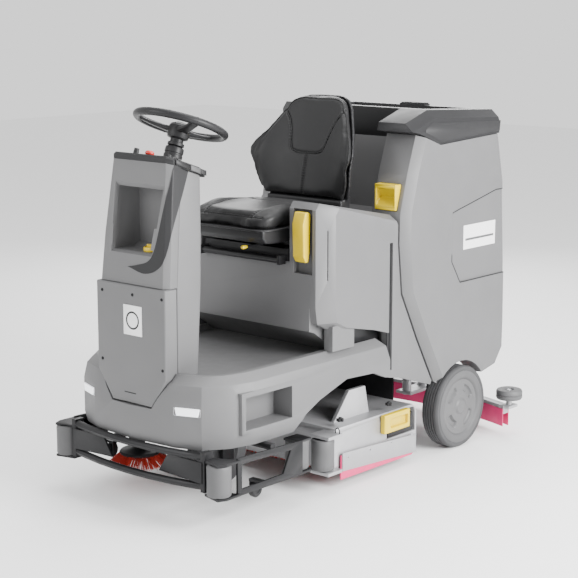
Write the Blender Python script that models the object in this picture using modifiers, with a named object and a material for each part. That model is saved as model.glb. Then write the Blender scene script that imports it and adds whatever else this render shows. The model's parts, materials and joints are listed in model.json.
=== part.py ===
"""Ride-on floor scrubber with a steered front drive wheel, seat, tilting recovery tank,
lifting scrub head, lifting front frame with side brush, and a swinging rear squeegee.

Units are metres. The front is -Y, the driver's left is +X and the floor is z = 0.
"""
import math

import bmesh
import bpy
from mathutils import Matrix, Vector

# ---------------------------------------------------------------- driving dimensions
GAP = 0.0004                      # between pieces that touch
WALL = 0.014                      # moulded shell thickness

REAR_WHEEL_R = 0.170
REAR_WHEEL_Y = 0.552
REAR_WHEEL_X = 0.377              # middle of the tyre
REAR_WHEEL_W = 0.084
REAR_HUB_R = 0.122
AXLE_R = 0.018

DRIVE_WHEEL_R = 0.130
DRIVE_WHEEL_Y = -0.460
DRIVE_WHEEL_W = 0.080

DECK_Z = 0.505
RIM_Z = 0.530
SHELL_LOW_Z = 0.275
SHELL_HALF = 0.392
SHELL_REAR_Y = 0.100
DECK_REAR_Y = -0.113
DECK_HALF = 0.320                 # flat part of the deck, inside its rim

PANEL_HALF = 0.173
PANEL_TOP_Z = 0.830
PANEL_LOW_Z = 0.405
CONSOLE_REAR_Y = -0.690
COVER_FRONT_Y = -0.838
COVER_FRONT_Z = 1.262
COVER_SLOPE = 0.344               # fall of the top cover per metre towards the rear
COVER_THICK = 0.026
COVER_NORMAL = Vector((0.0, COVER_SLOPE, 1.0)).normalized()
STOP_X = -0.010
STOP_Y = -0.785
KEY_X = -0.085
KNOB_X = 0.075
KEY_Y = -0.775
CAP_PLACE = Vector((0.036, -0.812, 0.945))

WHEEL_CENTRE = Vector((0.0, -0.631, 1.372))
COLUMN_AXIS = Vector((0.0, math.sin(math.radians(21)), math.cos(math.radians(21))))
STEER_R = 0.160
STEER_TUBE_R = 0.0145

SEAT_BOX_HALF = 0.385
SEAT_FLOOR_Z = 0.860
SEAT_GAP_HALF = 0.225             # half of the space between the two side pods
RIGHT_POD_Z = 0.968               # the right pod is low, where the driver steps up
SEAT_HALF = 0.207
TANK_HALF = 0.410
TANK_PIVOT_Y = 0.800
TANK_PIVOT_Z = 0.455

BACK_FOOT_Y = 0.030
BACK_FOOT_Z = 1.050
BACK_LEAN = 0.305                 # rearward lean per metre of height
BACK_LEVELS = [(1.050, 0.204, 0.000), (1.100, 0.225, 0.032), (1.170, 0.239, 0.068),
               (1.235, 0.252, 0.088), (1.310, 0.208, 0.054), (1.390, 0.159, 0.025),
               (1.425, 0.130, 0.018), (1.438, 0.080, 0.008)]   # height, half width, side wing

HEAD_HALF = 0.385
BRUSH_Z = 0.1105
BRUSH_FRONT_Y = -0.146
BRUSH_REAR_Y = 0.006
HEAD_ROLLER = Vector((0.372, -0.2815, 0.151))
FRONT_ROLLER = Vector((0.388, -0.858, 0.1925))
SIDE_ROLLER = Vector((0.3705, -0.427, 0.188))
CASTOR = Vector((0.372, -0.656, 0.107))
SIDE_BRUSH = Vector((-0.215, -0.655, 0.0885))
ROLLER_R = 0.0435
TUBE_R = 0.014
SQUEEGEE_END_X = 0.465
SQUEEGEE_PIVOT_Y = 0.740
SQUEEGEE_MID_Y = 0.8985
SQUEEGEE_END_Y = 0.833

ROUND_STEPS = 24
ROLLER_STEPS = 16


# ---------------------------------------------------------------- scene and materials
def clear_scene():
    for obj in list(bpy.data.objects):
        bpy.data.objects.remove(obj, do_unlink=True)


def new_collection(name):
    collection = bpy.data.collections.new(name)
    bpy.context.scene.collection.children.link(collection)
    return collection


def principled(name, colour, roughness, metallic=0.0):
    mat = bpy.data.materials.new(name)
    mat.use_nodes = True
    shader = mat.node_tree.nodes["Principled BSDF"]
    shader.inputs["Base Color"].default_value = (*colour, 1.0)
    shader.inputs["Roughness"].default_value = roughness
    shader.inputs["Metallic"].default_value = metallic
    return mat


clear_scene()
PARTS = new_collection("ride_on_scrubber")
TOOLS = new_collection("cutters")

GREY = principled("grey_plastic", (0.30, 0.30, 0.31), 0.55)
BLACK_PLASTIC = principled("black_plastic", (0.035, 0.035, 0.038), 0.5)
YELLOW = principled("yellow_plastic", (0.86, 0.72, 0.02), 0.4)
RED = principled("red_plastic", (0.60, 0.03, 0.02), 0.4)
STEEL_BLACK = principled("black_steel", (0.03, 0.03, 0.032), 0.4, 0.6)
ALUMINIUM = principled("aluminium", (0.66, 0.66, 0.68), 0.4, 0.9)
TYRE = principled("tyre_rubber", (0.11, 0.11, 0.12), 0.8)
HUB_GREY = principled("hub_grey", (0.33, 0.33, 0.34), 0.5)
ROLLER_GREY = principled("roller_grey", (0.24, 0.24, 0.25), 0.6)
VINYL = principled("black_vinyl", (0.025, 0.025, 0.027), 0.42)
LAMP = principled("lamp_lens", (0.92, 0.94, 0.97), 0.15)
LIP_PINK = principled("pink_rubber", (0.72, 0.05, 0.18), 0.5)
BRISTLE = principled("red_bristle", (0.55, 0.05, 0.02), 0.7)


# ---------------------------------------------------------------- modelling helpers
def add_object(name, mesh, mat):
    """A named object in the parts collection."""
    obj = bpy.data.objects.new(name, mesh)
    mesh.materials.clear()
    mesh.materials.append(mat)
    PARTS.objects.link(obj)
    return obj


def as_tool(obj):
    """Turns an object into a hidden operand for a Boolean."""
    PARTS.objects.unlink(obj)
    TOOLS.objects.link(obj)
    obj.hide_render = True
    obj.display_type = "WIRE"
    return obj


def boolean(obj, tool, operation):
    modifier = obj.modifiers.new(operation.lower(), "BOOLEAN")
    modifier.operation = operation
    modifier.object = as_tool(tool)
    return obj


def cut(obj, tool):
    return boolean(obj, tool, "DIFFERENCE")


def join(obj, *tools):
    for tool in tools:
        boolean(obj, tool, "UNION")
    return obj


def bevel(obj, width, segments=1, angle=30):
    modifier = obj.modifiers.new("bevel", "BEVEL")
    modifier.width = width
    modifier.segments = segments
    modifier.limit_method = "ANGLE"
    modifier.angle_limit = math.radians(angle)
    modifier.use_clamp_overlap = True
    return obj


def smooth(obj, angle=35):
    obj.data.shade_smooth()
    obj.data.set_sharp_from_angle(angle=math.radians(angle))
    return obj


def box(name, low, high, mat=GREY):
    """A box between two corners."""
    low = Vector(low)
    high = Vector(high)
    work = bmesh.new()
    bmesh.ops.create_cube(work, size=1.0)
    bmesh.ops.scale(work, vec=high - low, verts=work.verts)
    bmesh.ops.translate(work, vec=(high + low) / 2, verts=work.verts)
    mesh = bpy.data.meshes.new(name)
    work.to_mesh(mesh)
    work.free()
    return add_object(name, mesh, mat)


def turn_to(axis):
    """The rotation that takes +Z to the axis."""
    return Vector((0, 0, 1)).rotation_difference(Vector(axis).normalized()).to_matrix().to_4x4()


def cylinder(name, centre, axis, radius, length, mat=GREY, steps=ROUND_STEPS, top_radius=None):
    """A closed cylinder or cone about its own centre, with its origin there."""
    work = bmesh.new()
    upper = radius if top_radius is None else top_radius
    bmesh.ops.create_cone(work, cap_ends=True, segments=steps, radius1=radius, radius2=upper,
                          depth=length)
    bmesh.ops.transform(work, matrix=turn_to(axis), verts=work.verts)
    mesh = bpy.data.meshes.new(name)
    work.to_mesh(mesh)
    work.free()
    obj = add_object(name, mesh, mat)
    obj.location = centre
    return smooth(obj)


def turned(name, profile, centre, axis, mat=GREY, steps=ROUND_STEPS):
    """A solid of revolution: profile is (radius, height) from the top to the bottom."""
    work = bmesh.new()
    points = [work.verts.new((radius, 0.0, height)) for radius, height in profile]
    closed = profile[0][0] > 0.0 and profile[-1][0] > 0.0
    for first, second in zip(points, points[1:]):
        work.edges.new((first, second))
    if closed:
        work.edges.new((points[-1], points[0]))
    mesh = bpy.data.meshes.new(name)
    work.to_mesh(mesh)
    work.free()
    obj = add_object(name, mesh, mat)
    screw = obj.modifiers.new("turn", "SCREW")
    screw.steps = steps
    screw.render_steps = steps
    screw.use_merge_vertices = True
    screw.merge_threshold = 0.00005
    obj.matrix_world = Matrix.Translation(Vector(centre)) @ turn_to(axis)
    return obj


PLANES = {
    "yz": Matrix(((0, 0, 1, 0), (1, 0, 0, 0), (0, 1, 0, 0), (0, 0, 0, 1))),
    "xz": Matrix(((1, 0, 0, 0), (0, 0, -1, 0), (0, 1, 0, 0), (0, 0, 0, 1))),
    "xy": Matrix.Identity(4),
}
NORMALS = {"yz": Vector((1, 0, 0)), "xz": Vector((0, -1, 0)), "xy": Vector((0, 0, 1))}


def mesh_from_curve(curve_obj, name, mat):
    """The curve's surface as a welded mesh object in the same place."""
    depsgraph = bpy.context.evaluated_depsgraph_get()
    mesh = bpy.data.meshes.new_from_object(curve_obj.evaluated_get(depsgraph))
    work = bmesh.new()
    work.from_mesh(mesh)
    bmesh.ops.remove_doubles(work, verts=work.verts, dist=0.00001)
    bmesh.ops.recalc_face_normals(work, faces=work.faces)
    work.to_mesh(mesh)
    work.free()
    mesh.name = name
    obj = add_object(name, mesh, mat)
    obj.matrix_world = curve_obj.matrix_world.copy()
    bpy.data.objects.remove(curve_obj, do_unlink=True)
    return obj


def prism(name, outline, plane, low, high, mat=GREY):
    """A flat outline in one plane, extruded along the plane's normal from low to high."""
    curve = bpy.data.curves.new(name, "CURVE")
    curve.dimensions = "2D"
    curve.fill_mode = "BOTH"
    curve.extrude = (high - low) / 2
    spline = curve.splines.new("POLY")
    spline.points.add(len(outline) - 1)
    for point, (first, second) in zip(spline.points, outline):
        point.co = (first, second, 0.0, 1.0)
    spline.use_cyclic_u = True
    curve_obj = bpy.data.objects.new(name + "_curve", curve)
    bpy.context.scene.collection.objects.link(curve_obj)
    middle = abs(NORMALS[plane].dot(Vector((1, 1, 1)))) * (high + low) / 2
    direction = Vector([abs(part) for part in NORMALS[plane]])
    curve_obj.matrix_world = Matrix.Translation(direction * middle) @ PLANES[plane]
    bpy.context.view_layer.update()
    return mesh_from_curve(curve_obj, name, mat)


def tube(name, points, radius, mat=STEEL_BLACK, resolution=2):
    """A round tube with filled ends along a list of points."""
    curve = bpy.data.curves.new(name, "CURVE")
    curve.dimensions = "3D"
    curve.bevel_depth = radius
    curve.bevel_resolution = resolution
    curve.use_fill_caps = True
    spline = curve.splines.new("POLY")
    spline.points.add(len(points) - 1)
    for point, place in zip(spline.points, points):
        point.co = (*place, 1.0)
    curve_obj = bpy.data.objects.new(name + "_curve", curve)
    bpy.context.scene.collection.objects.link(curve_obj)
    bpy.context.view_layer.update()
    return mesh_from_curve(curve_obj, name, mat)


def loft(name, rings, mat=GREY):
    """A closed skin over rings that all have the same number of points."""
    work = bmesh.new()
    rows = [[work.verts.new(point) for point in ring] for ring in rings]
    count = len(rows[0])
    for lower, upper in zip(rows, rows[1:]):
        for index in range(count):
            after = (index + 1) % count
            corners = (lower[index], lower[after], upper[after], upper[index])
            if abs(lower[index].co.x) > abs(lower[after].co.x):
                corners = corners[1:] + corners[:1]
            work.faces.new(corners[:3])
            work.faces.new((corners[0], corners[2], corners[3]))
    work.faces.new(rows[0])
    work.faces.new(rows[-1])
    bmesh.ops.recalc_face_normals(work, faces=work.faces)
    mesh = bpy.data.meshes.new(name)
    work.to_mesh(mesh)
    work.free()
    return add_object(name, mesh, mat)


def inset(points, distance):
    """A convex outline with every side moved inwards by the distance."""
    centre = Vector((sum(p[0] for p in points), sum(p[1] for p in points))) / len(points)
    moved = []
    count = len(points)
    for index in range(count):
        here = Vector(points[index])
        before = Vector(points[index - 1])
        after = Vector(points[(index + 1) % count])
        normals = []
        for start, end in ((before, here), (here, after)):
            side = end - start
            normal = Vector((-side.y, side.x)).normalized()
            if normal.dot(centre - start) < 0:
                normal = -normal
            normals.append(normal)
        bisector = (normals[0] + normals[1]).normalized()
        moved.append(here + bisector * distance / max(bisector.dot(normals[0]), 0.3))
    return [(point.x, point.y) for point in moved]


def mirror_outline(half):
    """A full outline from its +X half, listed from the front centre to the rear centre."""
    other = [(-x, y) for x, y in reversed(half) if x > 0]
    return half + other


def cover_z(y):
    """Height of the underside of the sloping top cover at a place along Y."""
    return COVER_FRONT_Z - COVER_SLOPE * (y - COVER_FRONT_Y)


def on_cover(x, y, lift):
    """A place on the sloping face of the top cover, lifted along its normal."""
    return Vector((x, y, cover_z(y) + COVER_THICK)) + COVER_NORMAL * lift


def side_name(side):
    return "left" if side > 0 else "right"


# ---------------------------------------------------------------- welded chassis
def make_chassis():
    """Two long rails, cross members, axle brackets, stub axles and the front bearing plate."""
    rail_low = 0.405
    rail_top = 0.450
    frame = box("chassis_frame", (0.14, -0.62, rail_low), (0.18, 0.70, rail_top), STEEL_BLACK)
    join(frame, box("rail", (-0.18, -0.62, rail_low), (-0.14, 0.70, rail_top)))
    cross_members = ((-0.618, -0.588), (-0.570, -0.350), (0.0, 0.050), (0.520, 0.585), (0.660, 0.700))
    for start, end in cross_members:
        join(frame, box("cross_member", (-0.15, start, rail_low + 0.004), (0.15, end, rail_top - 0.004)))
    for side in (1, -1):
        reach = sorted((side * 0.16, side * 0.30))
        join(frame, box("bracket_top", (reach[0], 0.525, 0.412), (reach[1], 0.580, 0.446)))
        leg = sorted((side * 0.262, side * 0.292))
        join(frame, box("bracket_leg", (leg[0], 0.520, 0.135), (leg[1], 0.585, 0.430)))
        join(frame, cylinder("stub_axle", (side * 0.335, REAR_WHEEL_Y, REAR_WHEEL_R), (1, 0, 0),
                             AXLE_R, 0.130, steps=ROLLER_STEPS))
    join(frame, box("squeegee_post", (-0.05, 0.655, 0.215), (0.05, 0.690, 0.420)))
    join(frame, box("front_post", (-0.05, -0.615, 0.300), (0.05, -0.590, 0.430)))
    join(frame, box("bulkhead", (-0.255, 0.300, 0.215), (0.255, 0.306, 0.440)))


# ---------------------------------------------------------------- lower shell with the deck
NOSE_HALF = [(0.0, -0.905), (0.200, -0.888), (0.300, -0.850), (0.362, -0.765),
             (0.388, -0.660), (SHELL_HALF, SHELL_REAR_Y), (0.0, SHELL_REAR_Y)]


def panel_outline(extra=0.0):
    """The service panel's outline in X and Z, grown by the extra clearance."""
    half = PANEL_HALF + extra
    low = PANEL_LOW_Z - extra
    return [(-half, PANEL_TOP_Z), (half, PANEL_TOP_Z), (half, 0.510), (0.100, low),
            (-0.100, low), (-half, 0.510)]


def headlight_block(name, side, grow, depth, mat=LAMP):
    """A flat block that stands in the slanting face beside the nose."""
    first = Vector((0.206, -0.8857, 0.0))
    second = Vector((0.294, -0.8523, 0.0))
    along = (second - first).normalized()
    outward = Vector((along.y, -along.x, 0.0))
    middle = (first + second) / 2 - outward * 0.004
    half_long = (second - first).length / 2 + grow
    rings = []
    for level, stretch in ((0.396 - grow, -0.006), (0.424 + grow, 0.0)):
        ring = []
        for run, push in ((-1, -1), (1, -1), (1, 1), (-1, 1)):
            place = middle + along * run * (half_long + stretch) + outward * push * depth
            ring.append((side * place.x, place.y, level))
        rings.append(ring)
    return loft(name, rings, mat)


def make_base_shell():
    """Moulded nose, fenders and deck: open below and behind, arched over the scrub head."""
    outline = mirror_outline(NOSE_HALF)
    levels = [(SHELL_LOW_Z, 0.010), (0.315, 0.0), (0.445, 0.0), (0.500, 0.012), (RIM_Z, 0.042)]
    rings = [[(x, y, z) for x, y in inset(outline, distance)] for z, distance in levels]
    shell = loft("base_shell", rings)
    hollow_plan = inset(outline, WALL + 0.010)
    hollow = [(x, y + 0.1 if y > 0 else y) for x, y in hollow_plan]
    cut(shell, prism("nose_hollow", hollow, "xy", 0.20, DECK_Z - 0.018))
    deck_plan = inset(outline, 0.070)
    deck = [(x, y + 0.2 if y > 0 else y) for x, y in deck_plan]
    cut(shell, prism("deck_pocket", deck, "xy", DECK_Z, 0.60))
    arch = [(-0.461, 0.15), (-0.461, 0.272), (-0.400, 0.330), (-0.321, 0.368), (-0.164, 0.418),
            (0.0, 0.410), (0.070, 0.380), (0.200, 0.360), (0.200, 0.15)]
    cut(shell, prism("arch_opening", arch, "yz", -0.5, 0.5))
    cut(shell, box("battery_opening", (-0.346, DECK_REAR_Y, 0.20), (0.346, 0.30, 0.60)))
    for side in (1, -1):
        block = sorted((side * 0.285, side * 0.384))
        join(shell, box("step_block", (block[0], -0.735, 0.320), (block[1], -0.455, 0.470)))
        pocket = sorted((side * 0.300, side * 0.420))
        cut(shell, box("step_pocket", (pocket[0], -0.715, 0.335), (pocket[1], -0.475, 0.452)))
        cut(shell, headlight_block("lamp_recess", side, 0.0006, 0.009))
        lamp = headlight_block(f"headlight_{side_name(side)}", side, 0.0, 0.0084)
        bevel(lamp, 0.002)
    cut(shell, prism("panel_recess", panel_outline(0.004), "xz", -1.0, -0.8329))
    cut(shell, box("console_foot", (-0.176, -0.8425, DECK_Z), (0.176, -0.700, 0.60)))


# ---------------------------------------------------------------- steering console
def console_levels():
    """Height, half width, front place and seam place up the console post."""
    return [(0.832, 0.172, -0.884, -0.832), (1.000, 0.165, -0.868, -0.815),
            (1.150, 0.155, -0.850, -0.795), (COVER_FRONT_Z, 0.148, -0.836, -0.780)]


def u_ring(half, start_y, end_y, corner, level, wall):
    """A U in plan, open at start_y, closed at end_y, with cut corners: the top one meets the cover."""
    way = 1 if end_y > start_y else -1
    outer = [(half, start_y), (half, end_y - way * corner), (half - corner, end_y),
             (-half + corner, end_y), (-half, end_y - way * corner), (-half, start_y)]
    thin = half - wall
    inner_corner = corner * 0.8
    inner_end = end_y - way * wall
    inner = [(-thin, start_y), (-thin, inner_end - way * inner_corner),
             (-thin + inner_corner, inner_end), (thin - inner_corner, inner_end),
             (thin, inner_end - way * inner_corner), (thin, start_y)]
    if level == COVER_FRONT_Z:
        return [(x, y, cover_z(y) - GAP) for x, y in outer + inner]
    return [(x, y, level) for x, y in outer + inner]


def make_console():
    """Front shell with a storage recess, rear shell, service panel and top cover."""
    rings = []
    for level, half, front, seam in console_levels():
        rings.append(u_ring(half, seam - GAP, front, 0.018, level, WALL))
    front_shell = loft("console_front_shell", rings)
    block = prism("storage_block", [(-0.844, 1.185), (-0.873, 0.925), (-0.735, 0.925), (-0.720, 1.185)],
                  "yz", -0.130, 0.130)
    join(front_shell, block)
    mouth = [(-0.108, 1.168), (0.118, 1.168), (0.082, 0.945), (-0.108, 0.945)]
    back = [(-0.098, 1.160), (0.106, 1.160), (0.074, 0.960), (-0.098, 0.960)]
    pocket = loft("storage_pocket", [[(x, depth, z) for x, z in outline]
                                     for outline, depth in ((mouth, -0.950), (mouth, -0.775),
                                                            (back, -0.745))])
    cut(front_shell, pocket)

    rings = []
    lower = [(DECK_Z + GAP, 0.172, -0.832)] + [(z, half, seam) for z, half, _, seam in console_levels()]
    for level, half, seam in lower:
        rear = CONSOLE_REAR_Y + 0.045 * (level - DECK_Z) / (COVER_FRONT_Z - DECK_Z)
        rings.append(u_ring(half, seam, rear, 0.045, level, 0.012))
    loft("console_rear_shell", rings)

    panel = prism("service_panel", panel_outline(), "xz", -0.894, -0.8335)
    bevel(panel, 0.004)
    inner = [(-PANEL_HALF + 0.012, PANEL_TOP_Z - 0.012), (PANEL_HALF - 0.012, PANEL_TOP_Z - 0.012),
             (PANEL_HALF - 0.012, 0.520), (0.092, 0.420), (-0.092, 0.420), (-PANEL_HALF + 0.012, 0.520)]
    cut(panel, prism("panel_hollow", inner, "xz", -0.878, -0.80))

    cover_half = [(0.0, COVER_FRONT_Y), (0.128, COVER_FRONT_Y), (0.150, COVER_FRONT_Y + 0.020),
                  (0.156, -0.690), (0.130, -0.645), (0.0, -0.630)]
    outline = mirror_outline(cover_half)
    rings = [[(x, y, cover_z(y)) for x, y in outline],
             [(x, y, cover_z(y) + COVER_THICK * 0.6) for x, y in outline],
             [(x, y, cover_z(y) + COVER_THICK) for x, y in inset(outline, 0.008)]]
    cover = loft("console_top_cover", rings, BLACK_PLASTIC)
    cut(cover, cylinder("stop_bore", on_cover(STOP_X, STOP_Y, 0.0), COVER_NORMAL, 0.0108, 0.030,
                        steps=ROLLER_STEPS))
    cut(cover, cylinder("column_bore", WHEEL_CENTRE - COLUMN_AXIS * 0.145, COLUMN_AXIS, 0.0305, 0.12,
                        steps=ROLLER_STEPS))


def make_controls():
    """Key, emergency stop and programme knob on the top cover, and the yellow filler cap."""
    turned("key_switch", [(0.0, 0.030), (0.009, 0.028), (0.011, 0.0), (0.0, 0.0)],
           on_cover(KEY_X, KEY_Y, GAP), COVER_NORMAL, BLACK_PLASTIC, ROLLER_STEPS)
    turned("stop_button", [(0.0, 0.024), (0.013, 0.022), (0.017, 0.016), (0.017, 0.010), (0.010, 0.008),
                           (0.010, -0.006), (0.0, -0.006)],
           on_cover(STOP_X, STOP_Y, 0.0), COVER_NORMAL, RED, ROLLER_STEPS)
    turned("selector_knob", [(0.0, 0.018), (0.015, 0.016), (0.018, 0.0), (0.0, 0.0)],
           on_cover(KNOB_X, KEY_Y, GAP), COVER_NORMAL, BLACK_PLASTIC, ROLLER_STEPS)
    turned("filler_cap", [(0.0, 0.022), (0.026, 0.022), (0.032, 0.016), (0.034, 0.0), (0.0, 0.0)],
           CAP_PLACE + Vector((0, 0, GAP)), (0, 0, 1), YELLOW, ROUND_STEPS)


def make_steering():
    """Collar, shaft with wheel, steered drive unit and its wheel."""
    turned("column_collar", [(0.030, 0.040), (0.034, 0.036), (0.034, 0.0), (0.020, 0.0), (0.020, 0.040)],
           WHEEL_CENTRE - COLUMN_AXIS * 0.122, COLUMN_AXIS, BLACK_PLASTIC, ROLLER_STEPS)

    work = bmesh.new()
    rings = []
    for step in range(28):
        around = 2 * math.pi * step / 28
        ring = []
        for part in range(8):
            angle = 2 * math.pi * part / 8
            radius = STEER_R + STEER_TUBE_R * math.cos(angle)
            ring.append(work.verts.new((radius * math.cos(around), radius * math.sin(around),
                                        STEER_TUBE_R * math.sin(angle))))
        rings.append(ring)
    for index, ring in enumerate(rings):
        after = rings[(index + 1) % len(rings)]
        for part in range(8):
            following = (part + 1) % 8
            work.faces.new((ring[part], after[part], after[following], ring[following]))
    bmesh.ops.recalc_face_normals(work, faces=work.faces)
    mesh = bpy.data.meshes.new("steering_wheel")
    work.to_mesh(mesh)
    work.free()
    wheel = add_object("steering_wheel", mesh, BLACK_PLASTIC)
    pose = Matrix.Translation(WHEEL_CENTRE) @ turn_to(COLUMN_AXIS)
    wheel.matrix_world = pose
    smooth(wheel)
    hub = turned("hub", [(0.0, 0.004), (0.030, 0.002), (0.038, -0.010), (0.038, -0.040), (0.026, -0.062),
                         (0.017, -0.064), (0.017, -0.150), (0.0, -0.150)],
                 WHEEL_CENTRE, COLUMN_AXIS, BLACK_PLASTIC, ROLLER_STEPS)
    join(wheel, hub)
    for bearing in (90, 205, 335):
        start = Vector((0.030, 0.0, -0.024))
        end = Vector((STEER_R, 0.0, -0.002))
        spoke = loft("spoke", [
            [start + Vector((0, y, z)) for y, z in ((-0.020, -0.007), (0.020, -0.007), (0.020, 0.007),
                                                    (-0.020, 0.007))],
            [end + Vector((0, y, z)) for y, z in ((-0.012, -0.005), (0.012, -0.005), (0.012, 0.005),
                                                  (-0.012, 0.005))]])
        spoke.matrix_world = pose @ Matrix.Rotation(math.radians(bearing), 4, "Z")
        join(wheel, spoke)

    unit = cylinder("drive_unit", (0.0, DRIVE_WHEEL_Y, 0.386), (0, 0, 1), 0.085, 0.036, STEEL_BLACK)
    middle = DRIVE_WHEEL_Y
    join(unit, box("fork_top", (-0.060, middle - 0.045, 0.300), (0.060, middle + 0.045, 0.372)))
    for side in (1, -1):
        leg = sorted((side * 0.046, side * 0.060))
        join(unit, box("fork_leg", (leg[0], middle - 0.030, 0.105), (leg[1], middle + 0.030, 0.330)))
    half = DRIVE_WHEEL_W / 2
    turned("drive_wheel", [(0.0, half - 0.006), (0.060, half - 0.006), (0.066, half), (0.118, half),
                           (DRIVE_WHEEL_R, half - 0.010), (DRIVE_WHEEL_R, -half + 0.010), (0.118, -half),
                           (0.066, -half), (0.060, -half + 0.006), (0.0, -half + 0.006)],
           (0.0, DRIVE_WHEEL_Y, DRIVE_WHEEL_R), (1, 0, 0), TYRE, 28)


def make_pedal():
    """Accelerator pedal, hinged at its lower rear edge."""
    outline = [(-0.520, 0.5065), (-0.512, 0.5065), (-0.508, 0.514), (-0.650, 0.604), (-0.662, 0.598)]
    pedal = prism("accelerator_pedal", outline, "yz", -0.145, -0.065, BLACK_PLASTIC)
    return bevel(pedal, 0.0015)


# ---------------------------------------------------------------- rear wheels
def make_rear_wheels():
    """Tyre and hub for each side, with the hub bored for the stub axle."""
    half = REAR_WHEEL_W / 2
    for side in (1, -1):
        centre = (side * REAR_WHEEL_X, REAR_WHEEL_Y, REAR_WHEEL_R)
        turned(f"rear_tyre_{side_name(side)}",
               [(REAR_HUB_R + GAP, half), (REAR_WHEEL_R - 0.012, half), (REAR_WHEEL_R, half - 0.014),
                (REAR_WHEEL_R, -half + 0.014), (REAR_WHEEL_R - 0.012, -half), (REAR_HUB_R + GAP, -half)],
               centre, (side, 0, 0), TYRE, 40)
        turned(f"rear_hub_{side_name(side)}",
               [(0.0, half - 0.006), (REAR_HUB_R - 0.010, half - 0.006), (REAR_HUB_R, half - 0.012),
                (REAR_HUB_R, -half + 0.010), (AXLE_R + 0.0008, -half + 0.010),
                (AXLE_R + 0.0008, half - 0.014), (0.0, half - 0.014)],
               centre, (side, 0, 0), HUB_GREY, 40)


# ---------------------------------------------------------------- seat box, battery and seat
SEAT_BOX_SIDE = [(-0.300, 1.060), (-0.280, 1.085), (0.138, 1.000), (0.148, 0.985), (0.148, 0.888),
                 (0.170, 0.690), (0.273, 0.495), (0.383, 0.305), (0.375, 0.292), (0.166, 0.360),
                 (0.1015, 0.372), (0.1015, 0.548), (0.010, 0.575), (-0.230, 0.611), (-0.290, 0.640),
                 (-0.300, 0.700)]


def make_seat_box():
    """Moulded box below the seat: two side pods, sloping front wall, battery space below."""
    rings = []
    for x, pull, drop in ((-SEAT_BOX_HALF, 0.072, 0.022), (-0.350, 0.0, 0.0), (0.350, 0.0, 0.0),
                          (SEAT_BOX_HALF, 0.072, 0.022)):
        ring = []
        for y, z in SEAT_BOX_SIDE:
            forward = y < -0.20
            top = z > 0.98
            ring.append((x, y + pull if forward else y, z - drop if top else z))
        rings.append(ring)
    shell = loft("seat_box", rings)
    cut(shell, box("seat_space", (-SEAT_GAP_HALF, -0.40, SEAT_FLOOR_Z), (SEAT_GAP_HALF, 0.30, 1.20)))
    cut(shell, box("right_side_cut", (-0.40, -0.40, RIGHT_POD_Z), (-0.200, 0.30, 1.20)))
    join(shell, prism("front_wall", [(-0.300, 0.600), (-0.300, 0.800), (-0.150, 0.800), (-0.0985, 0.520),
                                     (-0.0985, DECK_Z + GAP), (-0.130, DECK_Z + GAP)],
                      "yz", -DECK_HALF, DECK_HALF))
    join(shell, box("pod_wall", (-0.376, -0.140, RIM_Z + GAP), (0.376, -0.105, 0.625)))
    for side in (1, -1):
        reach = sorted((side * 0.335, side * 0.376))
        join(shell, box("pod_return", (reach[0], -0.232, RIM_Z + GAP), (reach[1], -0.120, 0.625)))
    cut(shell, prism("heel_space", [(-0.420, 0.400), (-0.420, 0.600), (-0.300, 0.610),
                                    (-0.270, 0.600), (-0.125, 0.500)], "yz", -DECK_HALF, DECK_HALF))
    cut(shell, prism("battery_space", [(-0.270, 0.838), (0.128, 0.838), (0.128, 0.25), (-0.098, 0.25),
                                       (-0.098, 0.525), (-0.270, 0.665)], "yz", -0.345, 0.345))
    cut(shell, box("frame_tunnel", (-0.345, 0.1275, 0.20), (0.345, 0.45, 0.500)))
    cut(shell, box("pod_hollow_left", (0.237, -0.258, 0.80), (0.372, 0.135, 0.985)))
    cut(shell, box("pod_hollow_right", (-0.372, -0.258, 0.80), (-0.237, 0.135, RIGHT_POD_Z - WALL)))
    cut(shell, box("lever_slot", (0.244, -0.34, 0.822), (0.334, -0.272, 1.062)))
    slit = [(0.098, 0.400), (0.118, 0.400), (0.118, 0.898), (0.098, 0.898)]
    for side in (1, -1):
        depth = sorted((side * 0.372, side * 0.40))
        cut(shell, prism("side_slit", slit, "yz", depth[0], depth[1]))

    prism("battery_pack", [(-0.080, 0.4506), (0.115, 0.4506), (0.115, 0.825), (-0.240, 0.825),
                           (-0.240, 0.790), (-0.080, 0.535)], "yz", -0.325, 0.325, BLACK_PLASTIC)

    lever_side = [(-0.300, 1.052), (-0.316, 1.052), (-0.330, 1.010), (-0.326, 0.890), (-0.312, 0.866),
                  (-0.300, 0.868), (-0.292, 0.900), (-0.286, 1.045)]
    lever = prism("release_lever", lever_side, "yz", 0.262, 0.316, YELLOW)
    bevel(lever, 0.003)

    carrier = box("seat_carrier", (-0.212, -0.292, SEAT_FLOOR_Z + GAP), (0.212, -0.215, 0.905),
                  BLACK_PLASTIC)
    join(carrier, cylinder("carrier_tube", (0, -0.318, 0.866), (1, 0, 0), 0.013, 0.400, steps=12))
    for side in (1, -1):
        ear = sorted((side * 0.192, side * 0.206))
        join(carrier, box("tube_ear", (ear[0], -0.334, 0.850), (ear[1], -0.285, 0.884)))
        rail = sorted((side * 0.130, side * 0.160))
        join(carrier, box("seat_rail", (rail[0], -0.225, SEAT_FLOOR_Z + GAP), (rail[1], 0.120, 0.9295)))
    cut(carrier, box("wall_clear", (-0.3, -0.3008, 0.80), (0.3, -0.20, SEAT_FLOOR_Z + GAP)))


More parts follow.
